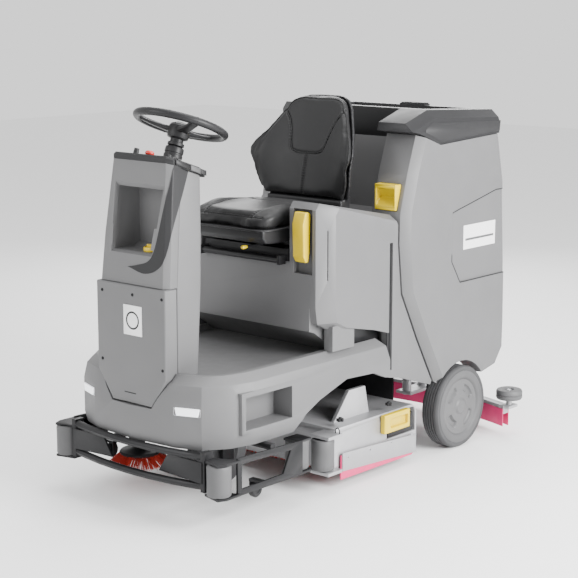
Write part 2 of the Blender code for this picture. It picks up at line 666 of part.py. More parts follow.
def make_seat():
    """Sliding seat: moulded pan, cushion, backrest pad in a shell, and its slide lever."""
    pan = prism("seat_pan", [(-0.415, 0.955), (-0.395, 0.932), (-0.330, 0.9302), (0.060, 0.9302),
                             (0.092, 0.950), (0.092, 0.9845), (-0.415, 0.9845)],
                "yz", -SEAT_HALF + 0.010, SEAT_HALF - 0.010, BLACK_PLASTIC)
    bevel(pan, 0.006)
    cushion = box("seat_cushion", (-SEAT_HALF, -0.430, 0.985), (SEAT_HALF, 0.008, 1.048), VINYL)
    bevel(cushion, 0.020, 2)

    def back_ring(level, half, wing, edge, middle):
        """Half of a backrest level: a shallow bucket whose sides come forward by the wing."""
        lean = BACK_FOOT_Y + (level - BACK_FOOT_Z) * BACK_LEAN
        inner = half * 0.6
        return [(-half, lean - wing + edge, level), (-inner, lean - wing * 0.2 + middle, level),
                (inner, lean - wing * 0.2 + middle, level), (half, lean - wing + edge, level)]

    pad_rings = []
    shell_rings = []
    for level, half, wing in BACK_LEVELS:
        pad_front = back_ring(level, half, wing, 0.0, 0.0)
        pad_rear = back_ring(level, half, wing, 0.030, 0.052)
        shell_front = back_ring(level, half, wing, 0.031, 0.053)
        shell_rear = back_ring(level, half, wing, 0.048, 0.072)
        pad_rings.append(pad_front + pad_rear[::-1])
        shell_rings.append(shell_front + shell_rear[::-1])
    loft("backrest_pad", pad_rings, VINYL)
    shell = loft("backrest_shell", shell_rings, BLACK_PLASTIC)
    foot = [(0.040, 0.9850), (0.090, 0.9850), (0.110, 1.060), (0.0865, 1.060), (0.0865, 1.0495),
            (0.040, 1.0495)]
    join(shell, prism("back_foot", foot, "yz", -0.190, 0.190))

    lever = box("seat_adjust_lever", (0.094, -0.425, 0.908), (0.108, -0.300, 0.9235), YELLOW)
    bevel(lever, 0.002)


# ---------------------------------------------------------------- recovery tank and lid
TANK_FRONT = [(0.262, 1.312), (0.206, 1.152), (0.165, 1.003), (0.162, 0.888), (0.185, 0.690),
              (0.288, 0.495), (0.401, 0.300)]
TANK_REAR = [(0.430, 0.284), (0.706, 0.284), (0.818, 0.306), (0.868, 0.371), (0.870, 0.487),
             (0.866, 0.735), (0.843, 1.073), (0.789, 1.312)]


def lid_cut_line():
    """The split between the tank and its lid, seen from the side."""
    return [(0.100, 1.3115), (0.235, 1.3045), (0.385, 1.2515), (1.000, 1.2790)]


def make_tank():
    """Recovery tank: bevelled sides, arches over the wheels, hollow and open under its lid."""
    rings = []
    for x, bevel_y in ((-TANK_HALF, 0.036), (-TANK_HALF + 0.028, 0.0), (TANK_HALF - 0.028, 0.0),
                       (TANK_HALF, 0.036)):
        front = [(x, y + bevel_y, z) for y, z in TANK_FRONT]
        rear = [(x, y - bevel_y * 0.5, z) for y, z in TANK_REAR]
        rings.append(front + rear)
    tank = loft("recovery_tank", rings)
    line = lid_cut_line()
    cut(tank, prism("lid_cut", line + [(1.000, 1.50), (0.100, 1.50)], "yz", -0.5, 0.5))
    cut(tank, box("frame_tunnel", (-0.326, 0.10, 0.20), (0.326, TANK_PIVOT_Y, TANK_PIVOT_Z + 0.003)))
    cut(tank, cylinder("wheel_arch", (0, REAR_WHEEL_Y, REAR_WHEEL_R), (1, 0, 0), 0.192, 1.0,
                       steps=32))
    recess = [(0.150, 0.880), (0.060, 1.003), (0.060, 1.50), (0.340, 1.50), (0.300, 1.200),
              (0.262, 1.003)]
    cut(tank, prism("seat_back_recess", recess, "yz", -0.450, 0.245))
    hollow = [(0.366, 1.45), (0.330, 1.20), (0.288, 1.000), (0.195, 0.870), (0.212, 0.700),
              (0.325, 0.475), (0.830, 0.475), (0.848, 0.600), (0.844, 0.735), (0.822, 1.073),
              (0.765, 1.45)]
    cut(tank, prism("tank_hollow", hollow, "yz", -0.385, 0.385))
    join(tank, prism("right_corner", [(-0.396, 0.335), (-0.300, 0.335), (-0.300, 0.360),
                                      (-0.396, 0.415)], "xy", 1.100, 1.248))
    wing = [(0.290, 1.45), (0.232, 1.150), (0.212, 1.000), (0.195, 0.888), (0.260, 0.800),
            (0.400, 0.800), (0.400, 1.45)]
    cut(tank, prism("wing_hollow", wing, "yz", 0.257, 0.385))
    pentagon = [(0.470, 0.975), (0.474, 0.780), (0.535, 0.690), (0.95, 0.690), (0.95, 1.040),
                (0.780, 1.040)]
    for side in (1, -1):
        depth = sorted((side * (TANK_HALF - 0.006), side * 0.50))
        cut(tank, prism("side_recess", pentagon, "yz", depth[0], depth[1]))
    cut(tank, box("grip_pocket", (0.2615, 0.10, 1.0115), (0.3625, 0.1965, 1.1125)))

    grip = box("tank_grip", (0.262, 0.158, 1.012), (0.362, 0.196, 1.112), YELLOW)
    cut(grip, prism("grip_hollow", [(0.130, 1.094), (0.168, 1.094), (0.188, 1.060), (0.150, 1.020),
                                    (0.130, 1.020)], "yz", 0.270, 0.354))

    turned("suction_turbine", [(0.0, 0.080), (0.055, 0.078), (0.072, 0.050), (0.072, -0.050),
                               (0.055, -0.070), (0.0, -0.072)],
           (-0.20, 0.70, 0.590), (0, 0, 1), BLACK_PLASTIC, ROLLER_STEPS)

    outline = [(0.192, 1.3120), (0.235, 1.3050), (0.385, 1.2520), (0.812, 1.2712), (0.818, 1.340),
               (0.790, 1.366), (0.340, 1.388), (0.240, 1.356), (0.200, 1.344)]
    rings = []
    for x, drop, pull in ((-0.406, 0.030, 0.014), (-0.372, 0.0, 0.0), (0.372, 0.0, 0.0),
                          (0.406, 0.030, 0.014)):
        ring = []
        for y, z in outline:
            upper = z > 1.315
            ring.append((x, y + pull if y < 0.3 else y - pull * (y > 0.8), z - drop * upper))
        rings.append(ring)
    lid = loft("tank_lid", rings, BLACK_PLASTIC)
    cut(lid, prism("lid_front_notch", [(0.10, 1.20), (0.10, 1.45), (0.352, 1.45), (0.352, 1.20)],
                   "yz", -0.245, 0.245))
    right_side = [(-0.500, 0.100), (-0.240, 0.100), (-0.240, 0.352), (-0.330, 0.352), (-0.500, 0.430)]
    cut(lid, prism("lid_right_notch", right_side, "xy", 1.20, 1.45))
    cut(lid, box("lid_tray", (-0.30, 0.42, 1.350), (0.30, 0.74, 1.45)))
    cut(lid, box("lid_under", (-0.350, 0.40, 1.20), (0.350, 0.76, 1.330)))


# ---------------------------------------------------------------- scrub head
def make_scrub_head():
    """Aluminium housing, open below, with lift arms; brushes, debris tray, skirts, rollers."""
    front_y = -0.235
    rear_y = 0.285
    rings = []
    for z, grow in ((0.075, 0.0), (0.205, 0.0), (0.232, -0.018)):
        rings.append([(side * (HEAD_HALF + grow * 0.4), y, z) for side, y in
                      ((-1, front_y - grow), (1, front_y - grow), (1, rear_y + grow), (-1, rear_y + grow))])
    head = loft("scrub_head", rings, ALUMINIUM)
    brush_half = 0.358
    roof = 0.222
    cut(head, box("brush_space", (-brush_half - 0.012, front_y + 0.012, 0.03),
                  (brush_half + 0.012, 0.084, roof)))
    cut(head, box("tray_space", (-0.375, 0.092, 0.127), (0.50, 0.275, roof)))
    cut(head, box("rear_space", (-0.375, 0.092, 0.03), (0.375, 0.275, 0.119)))
    for side in (1, -1):
        arm = sorted((side * 0.300, side * 0.316))
        plate = [(-0.154, 0.225), (0.067, 0.225), (0.041, 0.340), (-0.057, 0.340)]
        join(head, prism("lift_arm", plate, "yz", arm[0], arm[1]))
        ear = sorted((side * 0.330, side * 0.420))
        for low, high in ((0.214, 0.226), (0.076, 0.088)):
            plan = [(ear[0], -0.225), (ear[0], -0.306), (ear[1], -0.306), (ear[1], -0.225)]
            join(head, prism("roller_ear", plan, "xy", low, high))
    for side in (1, -1):
        turned(f"head_roller_{side_name(side)}",
               [(0.0, 0.0595), (0.040, 0.0595), (0.0435, 0.054), (0.0435, -0.054), (0.040, -0.0595),
                (0.0, -0.0595)],
               (side * HEAD_ROLLER.x, HEAD_ROLLER.y, HEAD_ROLLER.z), (0, 0, 1), ROLLER_GREY,
               ROLLER_STEPS)
        skirt_side = [(-0.200, 0.140), (-0.200, 0.069), (0.262, 0.042), (0.262, 0.116)]
        plate_x = sorted((side * (HEAD_HALF + 0.012), side * (HEAD_HALF + 0.017)))
        prism(f"skirt_plate_{side_name(side)}", skirt_side, "yz", plate_x[0], plate_x[1], ALUMINIUM)
        lip_side = [(-0.204, 0.130), (-0.204, 0.036), (0.240, 0.034), (0.262, 0.046), (0.262, 0.108)]
        lip_x = sorted((side * (HEAD_HALF + 0.0065), side * (HEAD_HALF + 0.0115)))
        prism(f"skirt_lip_{side_name(side)}", lip_side, "yz", lip_x[0], lip_x[1], LIP_PINK)
    for name, middle_y in (("brush_front", BRUSH_FRONT_Y), ("brush_rear", BRUSH_REAR_Y)):
        turned(name, [(0.0, brush_half), (0.040, brush_half), (0.040, brush_half - 0.006),
                      (0.0735, brush_half - 0.008), (0.0735, -brush_half + 0.008),
                      (0.040, -brush_half + 0.006), (0.040, -brush_half), (0.0, -brush_half)],
               (0.0, middle_y, BRUSH_Z), (1, 0, 0), BRISTLE, 20)
    tray = box("debris_tray", (-0.345, 0.098, 0.130), (0.3852, 0.260, 0.206), BLACK_PLASTIC)
    cut(tray, box("tray_hollow", (-0.335, 0.106, 0.138), (0.374, 0.252, 0.30)))
    handle = box("tray_handle", (0.3856, 0.050, 0.158), (0.4080, 0.212, 0.232), YELLOW)
    cut(handle, box("finger_hole", (0.3920, 0.090, 0.176), (0.50, 0.200, 0.212)))


# ---------------------------------------------------------------- front frame
def bow(height, reach=0.340, front=-0.905, ends=-0.862, count=9):
    """Points of a shallow arc in front of the nose."""
    points = []
    for index in range(count):
        x = -reach + 2 * reach * index / (count - 1)
        points.append((x, front + (ends - front) * (x / reach) ** 2, height))
    return points


def make_front_frame():
    """Two bowed tubes, guard plates, side arms and brackets, welded into one frame."""
    frame = tube("front_frame", bow(0.264), TUBE_R)
    join(frame, tube("lower_tube", bow(0.158), TUBE_R))
    for side in (1, -1):
        end = sorted((side * 0.320, side * 0.340))
        join(frame, box("end_plate", (end[0], -0.880, 0.140), (end[1], -0.838, 0.282)))
        guard = [(side * x, z) for x, z in ((0.330, 0.248), (0.165, 0.248), (0.120, 0.180), (0.330, 0.172))]
        join(frame, prism("guard_plate", guard, "xz", -0.884, -0.876))
        for low, high in ((0.249, 0.257), (0.128, 0.136)):
            corner = [(side * 0.335, -0.875), (side * 0.415, -0.895), (side * 0.430, -0.862),
                      (side * 0.428, -0.790), (side * 0.335, -0.838)]
            join(frame, prism("corner_ear", corner, "xy", low, high))
        arm_outer = [(-0.800, 0.262), (-0.455, 0.252), (-0.455, 0.124), (-0.800, 0.126)]
        arm_x = sorted((side * 0.414, side * 0.422))
        arm = prism("side_arm", arm_outer, "yz", arm_x[0], arm_x[1])
        join(frame, arm)
        window = [(-0.778, 0.238), (-0.520, 0.230), (-0.560, 0.150), (-0.778, 0.148)]
        cut(frame, prism("arm_window", window, "yz", arm_x[0] - 0.01, arm_x[1] + 0.01))
        for low, high in ((0.244, 0.252), (0.124, 0.132)):
            ear = sorted((side * 0.350, side * 0.420))
            join(frame, box("rear_ear", (ear[0], -0.478, low), (ear[1], -0.455 + 0.050, high)))
        cross = sorted((side * 0.040, side * 0.418))
        join(frame, box("cross_tube", (cross[0], -0.625, 0.252), (cross[1], -0.601, 0.272)))
        fork = sorted((side * 0.352, side * 0.418))
        join(frame, box("castor_fork", (fork[0], -0.668, 0.136), (fork[1], -0.644, 0.146)))
        cheek = sorted((side * 0.352, side * 0.358))
        join(frame, box("castor_cheek", (cheek[0], -0.666, 0.098), (cheek[1], -0.646, 0.142)))
    join(frame, box("lift_block", (-0.060, -0.628, 0.250), (0.060, -0.600, 0.286)))
    join(frame, box("centre_tie", (-0.030, -0.900, 0.262), (0.030, -0.610, 0.270)))
    join(frame, box("brush_bracket", (-0.245, -0.690, 0.2545), (-0.185, -0.605, 0.2665)))
    for side in (1, -1):
        for place, middle, half in (("front", FRONT_ROLLER, 0.056), ("side", SIDE_ROLLER, 0.0555)):
            turned(f"bumper_roller_{place}_{side_name(side)}",
                   [(0.0, half), (ROLLER_R - 0.004, half), (ROLLER_R, half - 0.005),
                    (ROLLER_R, -half + 0.005), (ROLLER_R - 0.004, -half), (0.0, -half)],
                   (side * middle.x, middle.y, middle.z), (0, 0, 1), ROLLER_GREY, ROLLER_STEPS)
        turned(f"frame_castor_{side_name(side)}",
               [(0.0, 0.012), (0.024, 0.012), (0.028, 0.008), (0.028, -0.008), (0.024, -0.012),
                (0.0, -0.012)],
               (side * CASTOR.x, CASTOR.y, CASTOR.z), (1, 0, 0), BLACK_PLASTIC, ROLLER_STEPS)
    turned("side_brush", [(0.0, 0.165), (0.020, 0.165), (0.020, 0.060), (0.030, 0.040), (0.078, 0.036),
                          (0.092, 0.022), (0.128, 0.0), (0.108, -0.004), (0.066, 0.014), (0.0, 0.014)],
           SIDE_BRUSH, (0, 0, 1), BRISTLE, 28)


# ---------------------------------------------------------------- rear squeegee
def squeegee_arc(depth, offset, count=13, reach=SQUEEGEE_END_X):
    """Plan points of the squeegee's bow, furthest back in the middle."""
    points = []
    for index in range(count):
        x = -reach + 2 * reach * index / (count - 1)
        points.append((x, SQUEEGEE_MID_Y - depth * (x / reach) ** 2 + offset))
    return points


def arc_plate(name, front, rear, low, high, mat):
    """A curved upright plate between two offsets of the squeegee's bow."""
    outline = squeegee_arc(0.085, front) + squeegee_arc(0.085, rear)[::-1]
    return prism(name, outline, "xy", low, high, mat)


def make_squeegee():
    """Lift arm, swinging squeegee bar, rubber lips, end rollers and the suction hose."""
    arm = box("squeegee_arm", (-0.045, 0.6905, 0.205), (0.045, 0.760, 0.235), STEEL_BLACK)
    join(arm, box("arm_guide", (-0.045, 0.6905, 0.205), (0.045, 0.700, 0.330)))

    bar = arc_plate("squeegee_bar", -0.022, 0.016, 0.096, 0.132, ALUMINIUM)
    join(bar, box("bar_neck", (-0.040, 0.715, 0.120), (0.040, 0.870, 0.132)))
    join(bar, cylinder("swing_pin", (0, SQUEEGEE_PIVOT_Y, 0.160), (0, 0, 1), 0.020, 0.088,
                       steps=ROLLER_STEPS))
    join(bar, cylinder("suction_dome", (0, 0.866, 0.140), (0, 0, 1), 0.034, 0.034, steps=ROLLER_STEPS,
                       top_radius=0.026))
    for side in (1, -1):
        ear = sorted((side * 0.440, side * 0.490))
        join(bar, box("end_ear", (ear[0], 0.795, 0.120), (ear[1], 0.862, 0.132)))
        join(bar, cylinder("roller_post", (side * SQUEEGEE_END_X, SQUEEGEE_END_Y, 0.139), (0, 0, 1),
                           0.012, 0.030, steps=12))
        turned(f"squeegee_roller_{side_name(side)}",
               [(0.0, 0.045), (0.046, 0.045), (0.055, 0.036), (0.055, 0.008), (0.050, 0.0), (0.0, 0.0)],
               (side * SQUEEGEE_END_X, SQUEEGEE_END_Y, 0.1545), (0, 0, 1), ROLLER_GREY, ROUND_STEPS)
    cut(arm, cylinder("pin_bore", (0, SQUEEGEE_PIVOT_Y, 0.2), (0, 0, 1), 0.0205, 0.2,
                      steps=ROLLER_STEPS))
    arc_plate("squeegee_lip_rear", 0.0165, 0.0205, 0.040, 0.118, LIP_PINK)
    arc_plate("squeegee_lip_front", -0.0265, -0.0225, 0.044, 0.118, LIP_PINK)

    hose_path = []
    for index in range(13):
        t = index / 12
        y = 0.866 - 0.162 * t ** 2.2
        z = 0.1590 + 0.110 * math.sin(min(1.0, t * 1.25) * math.pi / 2)
        hose_path.append((0.0, y, z))
    tube("suction_hose", hose_path, 0.021, BLACK_PLASTIC)


# ---------------------------------------------------------------- joints
def pivot(place, pieces, parent=None):
    """An empty on a joint's axis that carries the pieces, and may itself hang on another."""
    empty = bpy.data.objects.new(pieces[0] + "_axis", None)
    bpy.context.scene.collection.objects.link(empty)
    place = Vector(place)
    empty["place"] = place
    if parent is None:
        empty.location = place
    else:
        empty.parent = parent
        empty.location = place - Vector(parent["place"])
    for name in pieces:
        piece = bpy.data.objects[name]
        piece.parent = empty
        piece.matrix_parent_inverse = Matrix.Translation(-place)
    return empty


def mirrored(place, side):
    return (side * place.x, place.y, place.z)


def make_pivots():
    """Every moving piece hangs on an empty that stands on the axis of its joint."""
    pivot(WHEEL_CENTRE, ["steering_wheel"])
    fork = pivot((0.0, DRIVE_WHEEL_Y, 0.386), ["drive_unit"])
    pivot((0.0, DRIVE_WHEEL_Y, DRIVE_WHEEL_R), ["drive_wheel"], fork)
    pivot((-0.105, -0.515, 0.5105), ["accelerator_pedal"])
    pivot(on_cover(KEY_X, KEY_Y, 0.0), ["key_switch"])
    pivot(on_cover(STOP_X, STOP_Y, 0.0), ["stop_button"])
    pivot(on_cover(KNOB_X, KEY_Y, 0.0), ["selector_knob"])
    pivot(CAP_PLACE, ["filler_cap"])
    seat = pivot((0.0, -0.200, 0.930), ["seat_pan", "seat_cushion", "backrest_pad", "backrest_shell"])
    pivot((0.101, -0.303, 0.916), ["seat_adjust_lever"], seat)
    pivot((0.289, -0.300, 1.045), ["release_lever"])
    tank = pivot((0.0, TANK_PIVOT_Y, TANK_PIVOT_Z), ["recovery_tank", "tank_grip", "suction_turbine"])
    pivot((0.0, 0.815, 1.270), ["tank_lid"], tank)
    head = pivot((0.0, 0.025, 0.210), ["scrub_head", "skirt_plate_left", "skirt_plate_right",
                                       "skirt_lip_left", "skirt_lip_right"])
    pivot((0.0, BRUSH_FRONT_Y, BRUSH_Z), ["brush_front"], head)
    pivot((0.0, BRUSH_REAR_Y, BRUSH_Z), ["brush_rear"], head)
    pivot((0.0, 0.180, 0.168), ["debris_tray", "tray_handle"], head)
    front = pivot((0.0, -0.614, 0.268), ["front_frame"])
    pivot(SIDE_BRUSH, ["side_brush"], front)
    arm = pivot((0.0, 0.695, 0.268), ["squeegee_arm"])
    swing = pivot((0.0, SQUEEGEE_PIVOT_Y, 0.160), ["squeegee_bar", "squeegee_lip_front",
                                                   "squeegee_lip_rear", "suction_hose"], arm)
    for side in (1, -1):
        name = side_name(side)
        pivot((side * REAR_WHEEL_X, REAR_WHEEL_Y, REAR_WHEEL_R),
              [f"rear_hub_{name}", f"rear_tyre_{name}"])
        pivot(mirrored(HEAD_ROLLER, side), [f"head_roller_{name}"], head)
        pivot(mirrored(FRONT_ROLLER, side), [f"bumper_roller_front_{name}"], front)
        pivot(mirrored(SIDE_ROLLER, side), [f"bumper_roller_side_{name}"], front)
        pivot(mirrored(CASTOR, side), [f"frame_castor_{name}"], front)
        pivot((side * SQUEEGEE_END_X, SQUEEGEE_END_Y, 0.175), [f"squeegee_roller_{name}"], swing)


make_chassis()
make_base_shell()
make_console()
make_controls()
make_steering()
make_pedal()
make_rear_wheels()
make_seat_box()
make_seat()
make_tank()
make_scrub_head()
make_front_frame()
make_squeegee()
make_pivots()
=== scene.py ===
"""Looks of the ride-on floor scrubber: rounded shells, sewn seat, treads, bristles and trim.

Units are metres. The front is -Y, the driver's left is +X and the floor is z = 0.
"""
import json
import math

import bmesh
import bpy
from mathutils import Matrix, Vector
from mathutils.bvhtree import BVHTree
from mathutils.kdtree import KDTree


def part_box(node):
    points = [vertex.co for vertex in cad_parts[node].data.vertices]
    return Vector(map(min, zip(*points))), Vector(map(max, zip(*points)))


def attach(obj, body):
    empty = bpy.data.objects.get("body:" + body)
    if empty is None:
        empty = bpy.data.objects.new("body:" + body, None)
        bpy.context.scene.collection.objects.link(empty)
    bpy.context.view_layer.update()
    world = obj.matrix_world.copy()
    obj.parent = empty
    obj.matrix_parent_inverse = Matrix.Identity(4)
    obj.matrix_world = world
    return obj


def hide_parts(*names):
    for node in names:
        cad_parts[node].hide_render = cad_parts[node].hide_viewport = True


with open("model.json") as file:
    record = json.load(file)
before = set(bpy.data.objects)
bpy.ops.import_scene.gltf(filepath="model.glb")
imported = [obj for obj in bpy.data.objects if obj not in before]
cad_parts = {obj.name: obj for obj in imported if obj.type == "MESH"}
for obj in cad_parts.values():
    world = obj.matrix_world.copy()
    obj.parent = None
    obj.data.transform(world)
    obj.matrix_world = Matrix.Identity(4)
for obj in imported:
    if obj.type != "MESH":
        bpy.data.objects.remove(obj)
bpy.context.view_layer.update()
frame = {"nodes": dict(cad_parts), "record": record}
NODES = frame["nodes"]
RECORD = frame["record"]
BODY_OF = {node: body for body, nodes in RECORD["behaviour"]["bodies"].items() for node in nodes}
SLOT_OF = {part["node"]: part["material_slot"] for part in RECORD["subparts"]}
SIDES = ((1, "left"), (-1, "right"))
DULL_SPECULAR = 0.24        # how strongly the black plastics and paints mirror the room
VINYL_SPECULAR = 0.26       # the same for the seat's vinyl
VOXEL = 0.005               # grain of the seat covers
SIM_FRAMES = 20
CLOTH_PRESSURE = 4.0
EASE_PASSES = 14            # smoothing after the cloth has settled
THROW = 1.5                 # how far back a point starts when it is laid on a surface
COVER_SLOPE = 0.344         # fall of the console's top cover per metre towards the seat
FACE_SLOPE = 0.107          # lean of the console's front face
EDGE_SHARES = (0.06, 0.35, 0.65, 0.94)      # places along a straight edge of a frame


# ---------------------------------------------------------------- materials
def node_at(tree, kind, **values):
    """A shader node with its plain inputs and properties set by name."""
    node = tree.nodes.new(kind)
    for key, value in values.items():
        if key in node.inputs:
            node.inputs[key].default_value = value
        else:
            setattr(node, key, value)
    return node


def material(name, colour, roughness, metallic=0.0, tint=0.05, mottle=6.0, grain=700.0,
             relief=0.10, depth=0.0004, stretch=(1, 1, 1), spread=0.08, coat=0.0, sheen=0.0,
             wear=0.0):
    """Colour that drifts a little, uneven gloss, a fine raised grain, and lighter worn specks."""
    mat = bpy.data.materials.new(name)
    mat.use_nodes = True
    tree = mat.node_tree
    shader = tree.nodes["Principled BSDF"]
    shader.inputs["Metallic"].default_value = metallic
    shader.inputs["Coat Weight"].default_value = coat
    shader.inputs["Coat Roughness"].default_value = 0.25
    shader.inputs["Sheen Weight"].default_value = sheen
    place = node_at(tree, "ShaderNodeTexCoord")
    mapping = node_at(tree, "ShaderNodeMapping")
    mapping.inputs["Scale"].default_value = stretch
    tree.links.new(place.outputs["Object"], mapping.inputs["Vector"])

    drift = node_at(tree, "ShaderNodeTexNoise", Scale=mottle, Detail=4.0, Roughness=0.6)
    tree.links.new(place.outputs["Object"], drift.inputs["Vector"])
    ramp = node_at(tree, "ShaderNodeValToRGB")
    dark = [part * (1 - tint) for part in colour]
    light = [min(1.0, part * (1 + tint)) for part in colour]
    ramp.color_ramp.elements[0].position = 0.3
    ramp.color_ramp.elements[1].position = 0.7
    ramp.color_ramp.elements[0].color = (*dark, 1)
    ramp.color_ramp.elements[1].color = (*light, 1)
    tree.links.new(drift.outputs["Fac"], ramp.inputs["Fac"])
    paint = ramp.outputs["Color"]
    if wear > 0:
        specks = node_at(tree, "ShaderNodeTexNoise", Scale=140.0, Detail=6.0, Roughness=0.75)
        tree.links.new(place.outputs["Object"], specks.inputs["Vector"])
        edge = node_at(tree, "ShaderNodeMapRange")
        edge.inputs["From Min"].default_value = 0.62
        edge.inputs["From Max"].default_value = 0.78
        edge.inputs["To Max"].default_value = wear
        tree.links.new(specks.outputs["Fac"], edge.inputs["Value"])
        worn = node_at(tree, "ShaderNodeMixRGB")
        worn.inputs["Color2"].default_value = (*[min(1.0, part * 1.8 + 0.04) for part in colour], 1)
        tree.links.new(edge.outputs["Result"], worn.inputs["Fac"])
        tree.links.new(paint, worn.inputs["Color1"])
        paint = worn.outputs["Color"]
    tree.links.new(paint, shader.inputs["Base Color"])

    gloss = node_at(tree, "ShaderNodeTexNoise", Scale=mottle * 4, Detail=3.0)
    tree.links.new(mapping.outputs["Vector"], gloss.inputs["Vector"])
    level = node_at(tree, "ShaderNodeMapRange")
    level.inputs["To Min"].default_value = max(0.02, roughness - spread)
    level.inputs["To Max"].default_value = min(1.0, roughness + spread)
    tree.links.new(gloss.outputs["Fac"], level.inputs["Value"])
    tree.links.new(level.outputs["Result"], shader.inputs["Roughness"])

    fine = node_at(tree, "ShaderNodeTexNoise", Scale=grain, Detail=2.0, Roughness=0.5)
    tree.links.new(mapping.outputs["Vector"], fine.inputs["Vector"])
    bump = node_at(tree, "ShaderNodeBump", Strength=relief, Distance=depth)
    tree.links.new(fine.outputs["Fac"], bump.inputs["Height"])
    tree.links.new(bump.outputs["Normal"], shader.inputs["Normal"])
    return mat


def leather(name, colour):
    """Black seat vinyl: pebbled by small cells, with a soft sheen."""
    mat = material(name, colour, 0.48, tint=0.10, mottle=9.0, spread=0.06, sheen=0.02)
    tree = mat.node_tree
    shader = tree.nodes["Principled BSDF"]
    shader.inputs["Specular IOR Level"].default_value = VINYL_SPECULAR
    place = [node for node in tree.nodes if node.type == "TEX_COORD"][0]
    cells = node_at(tree, "ShaderNodeTexVoronoi", Scale=420.0)
    tree.links.new(place.outputs["Object"], cells.inputs["Vector"])
    creases = node_at(tree, "ShaderNodeTexNoise", Scale=26.0, Detail=5.0)
    tree.links.new(place.outputs["Object"], creases.inputs["Vector"])
    both = node_at(tree, "ShaderNodeMath", operation="ADD")
    tree.links.new(cells.outputs["Distance"], both.inputs[0])
    tree.links.new(creases.outputs["Fac"], both.inputs[1])
    bump = node_at(tree, "ShaderNodeBump", Strength=0.22, Distance=0.0007)
    tree.links.new(both.outputs["Value"], bump.inputs["Height"])
    tree.links.new(bump.outputs["Normal"], shader.inputs["Normal"])
    return mat


def lamp_material(name):
    """A lamp lens that glows a little behind fine vertical ribs."""
    mat = material(name, (0.92, 0.94, 0.97), 0.12, tint=0.02, grain=260.0, relief=0.3,
                   depth=0.0008, stretch=(1, 1, 0.05), coat=0.6)
    shader = mat.node_tree.nodes["Principled BSDF"]
    shader.inputs["Emission Color"].default_value = (0.95, 0.97, 1.0, 1.0)
    shader.inputs["Emission Strength"].default_value = 0.9
    return mat


MATERIALS = {
    "grey_plastic": material("moulded_grey", (0.108, 0.108, 0.110), 0.50, tint=0.045, relief=0.14,
                             grain=900.0, wear=0.05),
    "dark_grey": material("moulded_dark_grey", (0.018, 0.018, 0.019), 0.50, relief=0.14,
                          grain=900.0, wear=0.05),
    "black_plastic": material("moulded_black", (0.015, 0.015, 0.016), 0.42, tint=0.12, relief=0.18,
                              grain=800.0, wear=0.08),
    "yellow_plastic": material("moulded_yellow", (0.60, 0.43, 0.0), 0.34, tint=0.04, relief=0.06,
                               coat=0.15),
    "red_plastic": material("moulded_red", (0.55, 0.02, 0.012), 0.32, coat=0.3),
    "black_steel": material("powder_coated_steel", (0.013, 0.013, 0.014), 0.38, 0.2, tint=0.15,
                            grain=1200.0, relief=0.30, wear=0.16),
    "aluminium": material("cast_aluminium", (0.36, 0.36, 0.37), 0.42, 0.55, tint=0.05,
                          mottle=14.0, grain=500.0, relief=0.20, spread=0.12, wear=0.10),
    "tyre_rubber": material("tyre_rubber", (0.042, 0.042, 0.044), 0.72, tint=0.14, mottle=20.0,
                            grain=600.0, relief=0.30),
    "hub_grey": material("hub_grey", (0.085, 0.085, 0.087), 0.48, tint=0.05, mottle=14.0),
    "sidewall": material("sidewall_rubber", (0.070, 0.070, 0.072), 0.60, tint=0.06, mottle=16.0,
                         grain=500.0, relief=0.25),
    "roller_grey": material("roller_grey", (0.075, 0.075, 0.077), 0.58, tint=0.07, mottle=18.0,
                            relief=0.25, wear=0.12),
    "black_vinyl": leather("black_vinyl", (0.009, 0.009, 0.0095)),
    "lamp_lens": lamp_material("lamp_lens"),
    "pink_rubber": material("squeegee_rubber", (0.60, 0.025, 0.135), 0.45, tint=0.08, mottle=20.0),
    "red_bristle": material("red_bristle", (0.42, 0.022, 0.010), 0.62, tint=0.35, mottle=160.0,
                            grain=300.0, relief=0.4, depth=0.001, stretch=(1, 1, 0.2)),
    "zinc": material("zinc_plated_steel", (0.55, 0.55, 0.57), 0.28, 1.0, tint=0.08, mottle=60.0,
                     spread=0.12),
    "plate_white": material("label_white", (0.78, 0.78, 0.78), 0.35, tint=0.02),
    "thread": material("seam_thread", (0.050, 0.050, 0.053), 0.6, tint=0.2, mottle=400.0),
}
for key in ("black_plastic", "black_steel", "dark_grey"):
    dull_shader = MATERIALS[key].node_tree.nodes["Principled BSDF"]
    dull_shader.inputs["Specular IOR Level"].default_value = DULL_SPECULAR


# ---------------------------------------------------------------- making pieces
def show(piece, body, slot, look=None, replaces=()):
    """Gives a finished piece its material, its body and the CAD nodes that it stands for."""
    piece.data.materials.clear()
    piece.data.materials.append(MATERIALS[look or slot])
    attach(piece, body)
    if replaces:
        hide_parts(*replaces)
    return piece


def new_piece(name, work):
    """An object from a bmesh, which is used up."""
    mesh = bpy.data.meshes.new(name)
    bmesh.ops.recalc_face_normals(work, faces=work.faces)
    work.to_mesh(mesh)
    work.free()
    piece = bpy.data.objects.new(name, mesh)
    bpy.context.scene.collection.objects.link(piece)
    return piece


def applied(piece):
    """The piece with its modifiers turned into mesh."""
    bpy.context.view_layer.update()
    depsgraph = bpy.context.evaluated_depsgraph_get()
    mesh = bpy.data.meshes.new_from_object(piece.evaluated_get(depsgraph))
    piece.modifiers.clear()
    piece.data = mesh
    return piece


def rounded(piece, width, segments=2, angle=24, sharp=40):
    """Rounds every edge that is sharper than the angle."""
    bevel = piece.modifiers.new("round", "BEVEL")
    bevel.width = width
    bevel.segments = segments
    bevel.limit_method = "ANGLE"
    bevel.angle_limit = math.radians(angle)
    bevel.harden_normals = True
    bevel.miter_outer = "MITER_ARC"
    piece.data.shade_smooth()
    applied(piece)
    piece.data.shade_smooth()
    piece.data.set_sharp_from_angle(angle=math.radians(sharp))
    return piece


